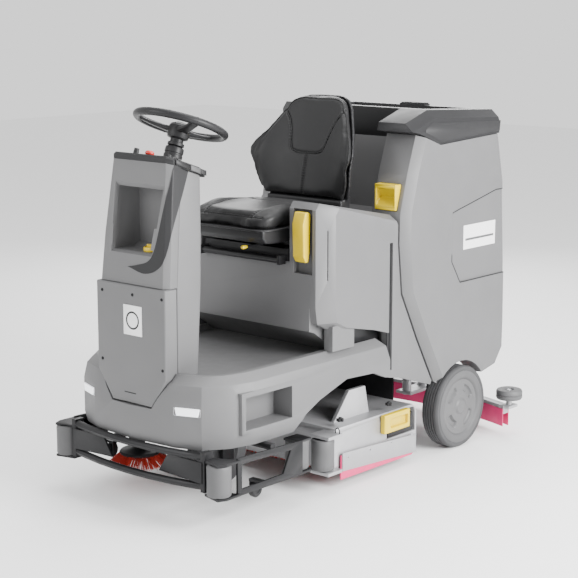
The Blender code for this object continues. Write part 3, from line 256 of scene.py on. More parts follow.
def own_mesh(node):
    """A cleaned copy of a CAD node's mesh, with its flat faces whole again."""
    work = bmesh.new()
    work.from_mesh(NODES[node].data)
    bmesh.ops.remove_doubles(work, verts=work.verts, dist=0.00002)
    bmesh.ops.dissolve_limit(work, angle_limit=math.radians(0.8), verts=work.verts, edges=work.edges)
    return new_piece(node + "_skin", work)


def soften(node, width, segments=2, look=None, angle=24):
    """The CAD node's own shape with rounded edges, standing for the node."""
    piece = rounded(own_mesh(node), width, segments, angle)
    return show(piece, BODY_OF[node], SLOT_OF[node], look, [node])


def measured(node):
    """Centre of a CAD node's box, and half its size along each axis."""
    low, high = (Vector(corner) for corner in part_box(node))
    return (low + high) / 2, (high - low) / 2


def bridged(work, rings, loop=True, caps=True):
    """Joins rows of vertices with quads. A loop joins each row's ends and caps fill the end rows."""
    for first, second in zip(rings, rings[1:]):
        for index in range(len(first) if loop else len(first) - 1):
            after = (index + 1) % len(first)
            work.faces.new((first[index], first[after], second[after], second[index]))
    if caps:
        work.faces.new(rings[0])
        work.faces.new(rings[-1])


def closed_slab(name, work, fronts, rears):
    """Joins two grids of vertices into one closed form."""
    across = len(fronts[0]) - 1
    for row in range(len(fronts) - 1):
        for column in range(across):
            for rows in (fronts, rears):
                work.faces.new((rows[row][column], rows[row][column + 1],
                                rows[row + 1][column + 1], rows[row + 1][column]))
        for column in (0, across):
            work.faces.new((fronts[row][column], fronts[row + 1][column], rears[row + 1][column],
                            rears[row][column]))
    for row in (0, -1):
        for column in range(across):
            work.faces.new((fronts[row][column], fronts[row][column + 1], rears[row][column + 1],
                            rears[row][column]))
    return new_piece(name, work)


def block(low, high, work=None):
    """A box between two corners."""
    work = work or bmesh.new()
    low = Vector(low)
    high = Vector(high)
    made = bmesh.ops.create_cube(work, size=1.0)["verts"]
    bmesh.ops.scale(work, vec=high - low, verts=made)
    bmesh.ops.translate(work, vec=(high + low) / 2, verts=made)
    return work


def turn_to(axis):
    """The rotation that takes +Z to an axis."""
    return Vector((0, 0, 1)).rotation_difference(Vector(axis).normalized()).to_matrix().to_4x4()


def lathe(profile, centre, axis, steps=48, work=None):
    """Turns (radius, height) points about an axis. Ends at radius 0 close, and so does a ring profile."""
    work = work or bmesh.new()
    pose = Matrix.Translation(Vector(centre)) @ turn_to(axis)
    rings = []
    closed = profile[0] == profile[-1]
    for radius, height in profile[:-1] if closed else profile:
        if radius < 1e-6:
            rings.append([work.verts.new(pose @ Vector((0, 0, height)))])
            continue
        ring = []
        for step in range(steps):
            angle = 2 * math.pi * step / steps
            ring.append(work.verts.new(pose @ Vector((radius * math.cos(angle),
                                                      radius * math.sin(angle), height))))
        rings.append(ring)
    for first, second in zip(rings, rings[1:] + (rings[:1] if closed else [])):
        for step in range(steps):
            after = (step + 1) % steps
            corners = [first[step % len(first)], first[after % len(first)],
                       second[after % len(second)], second[step % len(second)]]
            unique = list(dict.fromkeys(corners))
            if len(unique) > 2:
                work.faces.new(unique)
    return work


def prism(outline, plane, low, high, work=None):
    """A flat outline extruded along X ("yz"), Y ("xz") or Z ("xy")."""
    work = work or bmesh.new()
    order = {"yz": lambda a, b, c: (c, a, b), "xz": lambda a, b, c: (a, c, b),
             "xy": lambda a, b, c: (a, b, c)}[plane]
    bottom = [work.verts.new(order(a, b, low)) for a, b in outline]
    top = [work.verts.new(order(a, b, high)) for a, b in outline]
    work.faces.new(bottom)
    work.faces.new(top)
    for index in range(len(outline)):
        after = (index + 1) % len(outline)
        work.faces.new((bottom[index], bottom[after], top[after], top[index]))
    return work


def sweep(points, radius, sides=10, closed=False, work=None, radius_at=None):
    """A round rod along points, by a frame that turns with the path."""
    work = work or bmesh.new()
    points = [Vector(point) for point in points]
    count = len(points)
    rings = []
    normal = None
    for index, point in enumerate(points):
        before = points[(index - 1) % count] if closed or index else point
        after = points[(index + 1) % count] if closed or index < count - 1 else point
        along = (after - before).normalized()
        if normal is None:
            normal = along.orthogonal().normalized()
        normal = (normal - along * normal.dot(along)).normalized()
        across = along.cross(normal)
        size = radius_at(index / (count - 1)) if radius_at else radius
        rings.append([work.verts.new(point + size * (normal * math.cos(2 * math.pi * side / sides)
                                                     + across * math.sin(2 * math.pi * side / sides)))
                      for side in range(sides)])
    bridged(work, rings + rings[:1] if closed else rings, caps=not closed)
    return work


def side_plate(name, outline, side, inner, outer, width=0.0, segments=1):
    """A (y, z) outline extruded outward on one side, with rounded edges if a width is given."""
    low, high = sorted((side * inner, side * outer))
    piece = new_piece(name, prism(outline, "yz", low, high))
    return rounded(piece, width, segments) if width else piece


def smooth_piece(name, work, sharp=35):
    """A finished object with smooth shading up to the sharp angle."""
    piece = new_piece(name, work)
    piece.data.shade_smooth()
    piece.data.set_sharp_from_angle(angle=math.radians(sharp))
    return piece


def screw_head(place, axis, radius, work):
    """A pan-head screw with a hexagon socket."""
    lathe([(0.0, 0.0), (radius * 0.45, 0.0), (radius * 0.50, radius * 0.35),
           (radius * 0.80, radius * 0.33), (radius, radius * 0.12), (radius, -radius * 0.3),
           (0.0, -radius * 0.3)], place, axis, 20, work)
    return work


def screws(name, places, axis, radius, body, look="black_steel", slot="black_steel"):
    """Screws at several places as one piece."""
    work = bmesh.new()
    for place in places:
        screw_head(place, axis, radius, work)
    return show(smooth_piece(name, work), body, slot, look)


def tree_of(piece):
    """A search tree over a piece's faces, for laying details on its surface."""
    work = bmesh.new()
    work.from_mesh(piece.data)
    tree = BVHTree.FromBMesh(work)
    work.free()
    return tree


def laid_on(tree, points, direction, lift=0.0):
    """Points thrown along a direction onto a surface, then lifted off it."""
    direction = Vector(direction).normalized()
    found = []
    for point in points:
        place, normal, _, _ = tree.ray_cast(Vector(point) - direction * THROW, direction)
        if place is not None:
            found.append(place + normal * lift)
    return found


def snapped(tree, points, lift=0.0):
    """Points moved to the nearest place on a surface, then lifted off it."""
    found = []
    for point in points:
        place, normal, _, _ = tree.find_nearest(Vector(point))
        found.append(place + normal * lift)
    return found


def smooth_line(points, per_span=6, closed=False):
    """A Catmull-Rom curve through the points."""
    points = [Vector(point) for point in points]
    count = len(points)
    line = []
    for index in range(count if closed else count - 1):
        if closed:
            a, b, c, d = (points[(index + k - 1) % count] for k in range(4))
        else:
            a, b, c, d = (points[min(max(index + k - 1, 0), count - 1)] for k in range(4))
        for step in range(per_span):
            t = step / per_span
            line.append(0.5 * (2 * b + (c - a) * t + (2 * a - 5 * b + 4 * c - d) * t * t
                               + (3 * b - a - 3 * c + d) * t ** 3))
    if not closed:
        line.append(points[-1])
    return line


def grooved(piece, lines, depth, width):
    """Presses lines into a fine mesh, as a seam pulls a cover in."""
    places = [point for line in lines for point in line]
    finder = KDTree(len(places))
    for index, point in enumerate(places):
        finder.insert(point, index)
    finder.balance()
    mesh = piece.data
    normals = [Vector(item.vector) for item in mesh.vertex_normals]
    for vertex, normal in zip(mesh.vertices, normals):
        distance = finder.find(vertex.co)[2]
        if distance < width * 3:
            vertex.co -= normal * depth * math.exp(-(distance / width) ** 2)
    return piece


def remeshed(piece, voxel, passes):
    """A voxel skin over the piece, smoothed so its corners turn soft."""
    remesh = piece.modifiers.new("remesh", "REMESH")
    remesh.mode = "VOXEL"
    remesh.voxel_size = voxel
    soft = piece.modifiers.new("soft", "SMOOTH")
    soft.factor = 0.5
    soft.iterations = passes
    applied(piece)
    piece.data.shade_smooth()
    return piece


def puffed(piece, passes, cap):
    """Blows a closed start shape up as sewn cloth. No point travels further than the cap."""
    remeshed(piece, VOXEL, passes)
    start = [vertex.co.copy() for vertex in piece.data.vertices]
    cloth = piece.modifiers.new("cloth", "CLOTH")
    cloth.settings.quality = 4
    cloth.settings.use_pressure = True
    cloth.settings.uniform_pressure_force = CLOTH_PRESSURE
    cloth.settings.effector_weights.gravity = 0
    cloth.point_cache.frame_start = 1
    cloth.point_cache.frame_end = SIM_FRAMES
    for step in range(SIM_FRAMES):
        bpy.context.scene.frame_set(step + 1)
    applied(piece)
    bpy.context.scene.frame_set(1)
    for vertex, before in zip(piece.data.vertices, start):
        travel = vertex.co - before
        if travel.length > cap:
            vertex.co = before + travel * (cap / travel.length)
    ease = piece.modifiers.new("ease", "SMOOTH")
    ease.factor = 0.5
    ease.iterations = EASE_PASSES
    applied(piece)
    fine = piece.modifiers.new("fine", "SUBSURF")
    fine.levels = 1
    fine.render_levels = 1
    applied(piece)
    piece.data.shade_smooth()
    return piece


# ---------------------------------------------------------------- stage
def make_stage():
    """Pale floor, white world, four soft lamps and the camera."""
    work = bmesh.new()
    bmesh.ops.create_grid(work, x_segments=1, y_segments=1, size=14.0)
    floor = new_piece("floor", work)
    floor.location.z = -0.0005
    mat = material("pale_floor", (0.90, 0.90, 0.90), 0.9, tint=0.005, relief=0.02)
    floor.data.materials.append(mat)
    world = bpy.data.worlds.new("pale_studio")
    world.use_nodes = True
    background = world.node_tree.nodes["Background"]
    background.inputs["Color"].default_value = (1.0, 1.0, 1.0, 1.0)
    background.inputs["Strength"].default_value = 1.30
    bpy.context.scene.world = world
    target = Vector((0.0, -0.1, 0.6))
    lights = (("key", (4.4, 0.2, 2.2), 2.4, 640.0), ("front_fill", (-1.6, -4.6, 2.6), 2.4, 110.0),
              ("top", (0.2, 0.4, 4.2), 2.4, 130.0), ("rear", (-2.6, 3.4, 2.6), 2.6, 110.0))
    for name, place, size, power in lights:
        lamp = bpy.data.lights.new(name, "AREA")
        lamp.size = size
        lamp.energy = power
        holder = bpy.data.objects.new(name, lamp)
        holder.location = place
        holder.rotation_euler = (target - Vector(place)).to_track_quat("-Z", "Y").to_euler()
        bpy.context.scene.collection.objects.link(holder)
    camera = bpy.data.cameras.new("camera")
    camera.lens = 97.16
    camera.sensor_width = 36.0
    holder = bpy.data.objects.new("camera", camera)
    holder.location = (3.924, -4.578, 1.8405)
    holder.rotation_euler = (math.radians(79.17), 0.0, math.radians(40.87))
    bpy.context.scene.collection.objects.link(holder)
    bpy.context.scene.camera = holder


# ---------------------------------------------------------------- moulded shells
def make_shells():
    """The big moulded parts, with the radii of their mouldings."""
    for node, radius, segments in (("base_shell", 0.010, 3), ("console_rear_shell", 0.008, 3),
                                   ("service_panel", 0.004, 2), ("seat_box", 0.010, 3),
                                   ("recovery_tank", 0.012, 3), ("tank_lid", 0.009, 3)):
        soften(node, radius, segments)
    soften("console_top_cover", 0.005, 2, "dark_grey")


# ---------------------------------------------------------------- console
MOUTH = [(-0.108, 1.168), (0.118, 1.168), (0.082, 0.945), (-0.108, 0.945)]
MOUTH_EDGE = [(-0.113, 1.186), (0.132, 1.186), (0.093, 0.937), (-0.113, 0.937)]
# Edges of a dark sheet of painted shade, laid where the console's chamfer throws its shadow down the left
# edge and under the recess.
SHADE_SHEET_INNER = [(0.147, -0.812, 1.256), (0.150, -0.841, 1.186), (0.137, -0.851, 1.125),
               (0.104, -0.868, 0.972), (0.076, -0.874, 0.922), (0.020, -0.876, 0.902),
               (-0.026, -0.877, 0.892)]
SHADE_SHEET_OUTER = [(0.156, -0.755, 1.232), (0.158, -0.785, 1.156), (0.162, -0.830, 1.060),
               (0.142, -0.852, 0.943), (0.106, -0.860, 0.894), (0.045, -0.862, 0.874),
               (-0.020, -0.866, 0.888)]
SHADE_SHEET_OUTWARD = Vector((0.62, -0.78, 0.08)).normalized()
SHADE_SHEET_REACH = 0.08
SHADE_SHEET_LIFT = 0.0016
SHADE_SHEET_THICKNESS = 0.0016
PANEL_SCREWS = [(-0.142, 0.797), (0.013, 0.797), (0.158, 0.798), (-0.147, 0.546), (0.158, 0.547)]
BADGE_HALF = (0.046, 0.0535)
BADGE_PROUD = 0.0030


def console_face(height):
    """Depth of the console's front face at a height."""
    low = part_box("console_front_shell")[0]
    return low[1] + FACE_SLOPE * (height - low[2])


def make_console():
    """The front shell, with a chamfer round the mouth of its recess."""
    shell = own_mesh("console_front_shell")
    work = bmesh.new()
    rings = []
    for outline, depth in ((MOUTH_EDGE, -0.0015), (MOUTH, 0.013), (MOUTH, 0.030)):
        rings.append([work.verts.new((x, console_face(z) + depth, z)) for x, z in outline])
    bridged(work, rings)
    cutter = new_piece("mouth_cutter", work)
    chamfer = shell.modifiers.new("mouth", "BOOLEAN")
    chamfer.operation = "DIFFERENCE"
    chamfer.object = cutter
    applied(shell)
    bpy.data.objects.remove(cutter)
    rounded(shell, 0.0030, 3, 20)
    show(shell, "chassis", "grey_plastic", None, ["console_front_shell"])


def make_console_painted_shade():
    """A dark sheet laid just off the console shells: painted shade where the chamfer's shadow runs down
    the left edge of the console and under its recess.
    """
    both = bmesh.new()
    for node in ("console_front_shell", "console_rear_shell"):
        both.from_mesh(NODES[node].data)
    tree = BVHTree.FromBMesh(both)
    both.free()
    work = bmesh.new()
    across = 22
    grid = []
    for start, end in zip(smooth_line(SHADE_SHEET_INNER, 10), smooth_line(SHADE_SHEET_OUTER, 10)):
        row = []
        for step in range(across + 1):
            place = start.lerp(end, step / across)
            hit = tree.ray_cast(place + SHADE_SHEET_OUTWARD * SHADE_SHEET_REACH, -SHADE_SHEET_OUTWARD,
                                SHADE_SHEET_REACH * 2)[0]
            row.append(work.verts.new((hit or place) + SHADE_SHEET_OUTWARD * SHADE_SHEET_LIFT))
        grid.append(row)
    bridged(work, grid, loop=False, caps=False)
    shade_sheet = new_piece("console_painted_shade_sheet", work)
    thick = shade_sheet.modifiers.new("thick", "SOLIDIFY")
    thick.thickness = SHADE_SHEET_THICKNESS
    thick.offset = 0.0
    applied(shade_sheet)
    shade_sheet.data.shade_smooth()
    shade_sheet.data.set_sharp_from_angle(angle=math.radians(40))
    # The dark grey sheet is painted shade, not a part of the console.
    show(shade_sheet, "chassis", "grey_plastic", "dark_grey")


def make_panel_trim():
    """Screws, a plain badge plate with a ring, and a black strip of painted shade for a narrow slot on
    the service panel.
    """
    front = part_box("service_panel")[0][1]
    screws("panel_screws", [(x, front - 0.0002, z) for x, z in PANEL_SCREWS], (0, -1, 0), 0.0058,
           "chassis")
    badge = Vector((0.014, front, 0.706))
    wide, tall = BADGE_HALF
    plate = block(badge - Vector((wide, BADGE_PROUD, tall)), badge + Vector((wide, 0.0002, tall)))
    show(rounded(new_piece("badge_plate", plate), 0.0012, 2), "chassis", "grey_plastic",
         "plate_white")
    ring = lathe([(0.026, 0.0), (0.027, 0.0008), (0.032, 0.0008), (0.033, 0.0), (0.026, 0.0)],
                 badge - Vector((0, BADGE_PROUD, 0)), (0, -1, 0), 48)
    show(smooth_piece("badge_ring", ring), "chassis", "black_plastic", "dark_grey")
    # The slot's dark opening is painted shade: a black strip set into the panel.
    slot = block((-0.036, front - 0.0008, 0.440), (0.022, front + 0.001, 0.444))
    show(rounded(new_piece("panel_slot_shade_strip", slot), 0.0005, 1), "chassis", "black_plastic")


def make_cover_segments():
    """Coloured segments let into the side edges of the console's top cover."""
    low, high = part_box("console_top_cover")
    for name, start, end, look in (("black", -0.812, -0.742, "black_plastic"),
                                   ("pale", -0.740, -0.693, "sidewall"),
                                   ("end", -0.691, -0.664, "dark_grey")):
        edge = [(y, high[2] - 0.0232 - COVER_SLOPE * (y - low[1])) for y in (start, end)]
        outline = [(y, z + 0.003) for y, z in edge] + [(y, z + 0.021) for y, z in edge[::-1]]
        for side, label in SIDES:
            piece = side_plate(f"cover_segment_{name}_{label}", outline, side, 0.1500, 0.1568,
                               0.0012, 2)
            show(piece, "chassis", "black_plastic", look)


CAP_RIBS = 28
STOP_PLACE_Y = -0.7808


def make_controls():
    """Ribbed filler cap with its grip, and the mushroom head of the stop button."""
    cap, half = measured("filler_cap")
    cap.z -= half.z
    work = lathe([(0.0, 0.0), (0.033, 0.0), (0.034, 0.002), (0.0335, 0.012), (0.031, 0.015),
                  (0.029, 0.0145), (0.028, 0.012), (0.0, 0.012)], cap, (0, 0, 1), 64)
    for step in range(CAP_RIBS):
        angle = 2 * math.pi * step / CAP_RIBS
        foot = cap + Vector((0.0330 * math.cos(angle), 0.0330 * math.sin(angle), 0.002))
        sweep([foot, foot + Vector((0, 0, 0.010))], 0.0011, 6, work=work)
    grip = [(-0.026, -0.005), (0.026, -0.005), (0.028, 0.0), (0.026, 0.005), (-0.026, 0.005),
            (-0.028, 0.0)]
    prism([(cap.x + x, cap.y + y) for x, y in grip], "xy", cap.z + 0.011, cap.z + 0.0215, work)
    show(smooth_piece("ribbed_cap", work, 40), "cap", SLOT_OF["filler_cap"], None, ["filler_cap"])

    button, half = measured("stop_button")
    foot = Vector((button.x, STOP_PLACE_Y, button.z - half.z + 0.007))
    work = lathe([(0.0, 0.024), (0.008, 0.0235), (0.014, 0.0205), (0.0168, 0.016), (0.0165, 0.011),
                  (0.014, 0.009), (0.0098, 0.008), (0.0098, -0.004), (0.0, -0.004)], foot,
                 (0, COVER_SLOPE, 1.0), 40)
    show(smooth_piece("stop_mushroom", work, 50), "stop", SLOT_OF["stop_button"], None,
         ["stop_button"])


def make_slide_lever():
    """A black slide rod that ends in a small yellow knob."""
    centre, half = measured("seat_adjust_lever")
    body = BODY_OF["seat_adjust_lever"]
    tip = centre.y - half.y
    rod = sweep([(centre.x, tip + 0.022, centre.z), (centre.x, centre.y + half.y, centre.z)],
                0.0045, 12)
    show(smooth_piece("slide_rod", rod, 40), body, "black_plastic")
    knob = lathe([(0.0, 0.0), (0.0055, 0.001), (0.0070, 0.006), (0.0068, 0.018), (0.0048, 0.028),
                  (0.0, 0.028)], (centre.x, tip, centre.z), (0, 1, 0), 24)
    show(smooth_piece("slide_knob", knob, 50), body, "yellow_plastic", None,
         ["seat_adjust_lever"])


# ---------------------------------------------------------------- lamps
def make_lamps():
    """Rounded lens blocks in thin silver frames that lie on the lower shell."""
    shell = tree_of(NODES["base_shell"])
    gap = 0.0005
    for _, name in SIDES:
        node = f"headlight_{name}"
        soften(node, 0.003, 3)
        low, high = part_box(node)
        left, right = low[0] - gap, high[0] + gap
        foot, head = low[2] - gap, high[2] + gap
        corners = [(left, head), (right, head), (right, foot), (left, foot)]
        line = []
        for (x0, z0), (x1, z1) in zip(corners, corners[1:] + corners[:1]):
            line += [(x0 + (x1 - x0) * t, -0.5, z0 + (z1 - z0) * t) for t in EDGE_SHARES]
        ring = sweep(laid_on(shell, line, (0, 1, 0), 0.0004), 0.0018, 8, closed=True)
        show(smooth_piece(f"lamp_frame_{name}", ring, 60), BODY_OF[node], "aluminium")


# ---------------------------------------------------------------- tank and lid details
LABEL = [(0.559, 0.817), (0.786, 0.817), (0.786, 0.915), (0.559, 0.915)]
LABEL_BAND = [(0.572, 0.852), (0.773, 0.852), (0.773, 0.861), (0.572, 0.861)]
# Outline of the side panel's recess, where a dark line of painted shade runs along its step.
RECESS_SHADE_LINE = [(0.862, 1.041), (0.780, 1.041), (0.476, 0.9765), (0.473, 0.780), (0.534, 0.6885),
             (0.862, 0.6885)]
LID_PANELS = {
    "left": [(0.398, 1.262), (0.800, 1.280), (0.806, 1.322), (0.330, 1.340), (0.292, 1.322),
             (0.286, 1.306)],
    "right": [(0.440, 1.264), (0.800, 1.280), (0.806, 1.322), (0.420, 1.336)],
}
STRAP = [(0.425, 1.3512), (0.50, 1.3535), (0.66, 1.3535), (0.735, 1.3512)]
STRAP_SECTION = ((-0.011, 0.0), (0.011, 0.0), (0.011, 0.0022), (-0.011, 0.0022))


def make_tank_sides():
    """A plain label with a band on both sides of the tank, and a dark line of painted shade along the
    step of the side panel's recess.
    """
    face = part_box("recovery_tank")[1][0] - 0.006
    tree = tree_of(NODES["recovery_tank"])
    for side, name in SIDES:
        plate = side_plate(f"side_label_{name}", LABEL, side, face - 0.0003, face + 0.0012, 0.0005)
        show(plate, "tank", "grey_plastic", "plate_white")
        band = side_plate(f"side_label_band_{name}", LABEL_BAND, side, face + 0.0010, face + 0.0017)
        show(band, "tank", "grey_plastic", "sidewall")
        # A black rod sunk into the surface along the recess's step: painted shade that makes the shallow
        # recess show.
        edge = []
        for (y0, z0), (y1, z1) in zip(RECESS_SHADE_LINE, RECESS_SHADE_LINE[1:]):
            edge += [(side * (face + 0.1), y0 + (y1 - y0) * t, z0 + (z1 - z0) * t)
                     for t in (0.04, 0.35, 0.65, 0.96)]
        line = laid_on(tree, smooth_line(edge, 3), (-side, 0, 0), -0.0008)
        show(smooth_piece(f"side_recess_shade_line_{name}", sweep(line, 0.0024, 8), 60), "tank",
             "black_plastic")


def make_lid_details():
    """Side panels, a ribbed grip at the rear edge, and two straps across the tray of the lid."""
    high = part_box("tank_lid")[1]
    for side, name in SIDES:
        panel = side_plate(f"lid_side_panel_{name}", LID_PANELS[name], side, high[0] - 0.002,
                           high[0] + 0.0012, 0.0010, 2)
        show(panel, "lid", "black_plastic", "dark_grey")
    work = bmesh.new()
    for step in range(7):
        y = 0.752 + 0.005 * step
        block((-0.060, y, high[2] - 0.022), (0.060, y + 0.0025, high[2] - 0.010), work)
    block((-0.065, 0.748, high[2] - 0.030), (0.065, 0.786, high[2] - 0.014), work)
    show(rounded(new_piece("lid_grip_ribs", work), 0.0008, 1), "lid", "black_plastic")
    work = bmesh.new()
    for x in (-0.10, 0.10):
        line = smooth_line([(x, y, z) for y, z in STRAP], 5)
        bridged(work, [[work.verts.new(point + Vector((dx, 0, dz))) for dx, dz in STRAP_SECTION]
                       for point in line])
    show(smooth_piece("lid_straps", work, 40), "lid", "black_plastic", "dark_grey")


# ---------------------------------------------------------------- scrub head details
def make_head_details():
    """Star thumb screws, rivets on the skirt plates and a pull ring on the scrub head."""
    work = bmesh.new()
    up = (0, 0, 1)
    for y, size in ((-0.180, 0.016), (0.120, 0.014)):
        place = Vector((0.372, y, 0.2545))
        lathe([(0.0, 0.016), (size * 0.45, 0.0155), (size * 0.5, 0.012), (size * 0.5, 0.0),
               (0.0, 0.0)], place, up, 24, work)
        for step in range(5):
            angle = 2 * math.pi * step / 5
            lobe = place + Vector((size * 0.62 * math.cos(angle), size * 0.62 * math.sin(angle), 0))
            lathe([(0.0, 0.012), (size * 0.30, 0.011), (size * 0.34, 0.008), (size * 0.34, 0.001),
                   (0.0, 0.001)], lobe, up, 14, work)
    show(smooth_piece("head_thumb_screws", work, 40), "head", "black_plastic")
    for side, name in SIDES:
        low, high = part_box(f"skirt_plate_{name}")
        face = high[0] if side > 0 else low[0]
        places = [(face, low[1] + 0.03 + 0.135 * step, high[2] - 0.022) for step in range(4)]
        screws(f"skirt_rivets_{name}", places, (side, 0, 0), 0.0055, "head", "zinc", "aluminium")
    ring = [(0.405 + 0.010 * math.cos(2 * math.pi * k / 24), -0.236,
             0.232 + 0.014 * math.sin(2 * math.pi * k / 24)) for k in range(24)]
    show(smooth_piece("head_pull_ring", sweep(ring, 0.0022, 8, closed=True), 60), "head",
         "black_steel")


# ---------------------------------------------------------------- squeegee hose
HOSE_POINTS = 61
HOSE_RIBS = 22


def make_hose():
    """Ribbed suction hose from the squeegee up to the tank."""
    node = "suction_hose"
    points = []
    for index in range(HOSE_POINTS):
        t = index / (HOSE_POINTS - 1)
        rise = math.sin(min(1.0, t * 1.25) * math.pi / 2)
        points.append((0.0, 0.866 - 0.162 * t ** 2.2, 0.1590 + 0.110 * rise))
    ribbed = sweep(points, 0.0, 24,
                   radius_at=lambda t: 0.0188 + 0.0018 * math.sin(t * math.pi * 2 * HOSE_RIBS))
    show(smooth_piece("ribbed_hose", ribbed, 70), BODY_OF[node], SLOT_OF[node], None, [node])


# ---------------------------------------------------------------- seat box
SLIT = [(0.099, 0.410), (0.117, 0.410), (0.117, 0.890), (0.099, 0.890)]


def make_slit_shade_strips():
    """A dark strip of painted shade at the bottom of the slit in each side of the seat box."""
    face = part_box("seat_box")[1][0]
    for side, name in SIDES:
        # Black strip: painted shade at the bottom of the slit.
        strip = side_plate(f"slit_shade_strip_{name}", SLIT, side, face - 0.0125, face - 0.0100)
        show(strip, "chassis", "black_plastic")


# ---------------------------------------------------------------- seat
SEAT_LOW, SEAT_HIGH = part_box("seat_cushion")


def cushion_start():
    """A closed cushion with raised side bolsters, a little inside its finished size."""
    half = SEAT_HIGH[0] - 0.010
    front = SEAT_LOW[1] + 0.012
    rear = SEAT_HIGH[1] - 0.010
    corner = 0.070
    work = bmesh.new()
    across, along = 24, 26
    top, bottom = [], []
    for row in range(along + 1):
        y = front + (rear - front) * row / along
        near = max(0.0, 1 - (y - front) / corner)
        wide = half - corner * (1 - math.sqrt(max(0.0, 1 - near * near)))
        top_row, bottom_row = [], []
        for column in range(across + 1):
            u = -1 + 2 * column / across
            x = wide * u
            bolster = math.exp(-((abs(u) - 0.86) / 0.16) ** 2)
            fore = math.exp(-((y + 0.270) / 0.130) ** 2)
            roll = 0.010 * math.exp(-((y - front) / 0.035) ** 2)
            height = 1.022 + 0.030 * bolster * fore + 0.004 * (1 - u * u) - roll
            top_row.append(work.verts.new((x, y, height)))
            bottom_row.append(work.verts.new((x, y, SEAT_LOW[2] + 0.004)))
        top.append(top_row)
        bottom.append(bottom_row)
    return closed_slab("seat_cover", work, top, bottom)


def piping(name, lines, radius, body, look="black_vinyl"):
    """Thin sewn cords along lines, as one piece."""
    work = bmesh.new()
    for line in lines:
        sweep(line, radius, 8, work=work)
    return show(smooth_piece(name, work, 60), body, "black_vinyl", look)


def make_cushion():
    """The cushion's cover with its two long seams, a cross seam and piping along its front edge."""
    cover = puffed(cushion_start(), 6, 0.022)
    tree = tree_of(cover)
    seams = []
    for side in (1, -1):
        run = [(side * 0.118, -0.392, 1.1), (side * 0.124, -0.330, 1.1), (side * 0.136, -0.240, 1.1),
               (side * 0.142, -0.140, 1.1), (side * 0.140, -0.020, 1.1)]
        seams.append(laid_on(tree, smooth_line(run), (0, 0, -1)))
    run = [(x, -0.424, 1.036) for x in (-0.165, -0.12, -0.06, 0.0, 0.06, 0.12, 0.165)]
    front_edge = laid_on(tree, smooth_line(run), (0, 1, -0.25))
    cross = laid_on(tree, smooth_line([(x, -0.115, 1.1) for x in (-0.14, -0.07, 0.0, 0.07, 0.14)]),
                    (0, 0, -1))
    grooved(cover, seams + [cross], 0.0050, 0.0060)
    grooved(cover, [front_edge], 0.0030, 0.0050)
    show(cover, "seat", "black_vinyl", None, ["seat_cushion"])
    tree = tree_of(cover)
    edge = snapped(tree, front_edge, 0.0008)
    piping("cushion_piping", [edge], 0.0022, "seat")
    threads = [snapped(tree, [point + Vector((side * 0.006, 0, 0)) for point in seam], 0.0004)
               for side, seam in zip((1, -1), seams)]
    piping("cushion_seam_thread", threads, 0.0007, "seat", "thread")


def pad_levels():
    """The backrest pad's CAD levels: height, half width, then side and middle depths, front and rear."""
    points = [vertex.co for vertex in NODES["backrest_pad"].data.vertices]
    levels = []
    for height in sorted({round(point.z, 3) for point in points}):
        ring = [point for point in points if abs(point.z - height) < 0.001]
        half = max(point.x for point in ring)
        sides = [point.y for point in ring if point.x > half * 0.9]
        middles = [point.y for point in ring if abs(point.x) < half * 0.7]
        levels.append((Vector((height, half, min(sides))),
                       Vector((min(middles), max(sides), max(middles)))))
    return levels


def backrest_start():
    """The pad as one smooth bucket through its CAD levels, a little inside its finished size."""
    levels = pad_levels()
    outer = smooth_line([first for first, _ in levels], 5)
    depth = smooth_line([second for _, second in levels], 5)
    across = 30
    work = bmesh.new()
    fronts, rears = [], []
    for (height, half, side_front), (middle_front, side_rear, middle_rear) in zip(outer, depth):
        front_row, rear_row = [], []
        for column in range(across + 1):
            u = -1 + 2 * column / across
            x = (half - 0.004) * u
            forward = abs(u) ** 2.4
            front_row.append(work.verts.new((x, middle_front + (side_front - middle_front) * forward
                                             + 0.004, height)))
            rear_row.append(work.verts.new((x, middle_rear + (side_rear - middle_rear) * forward
                                            - 0.004, height)))
        fronts.append(front_row)
        rears.append(rear_row)
    return closed_slab("backrest_cover", work, fronts, rears)


HALF_INSERT = [(0.040, 1.222), (0.072, 1.230), (0.086, 1.255), (0.098, 1.300), (0.114, 1.340),
               (0.131, 1.366), (0.148, 1.392)]


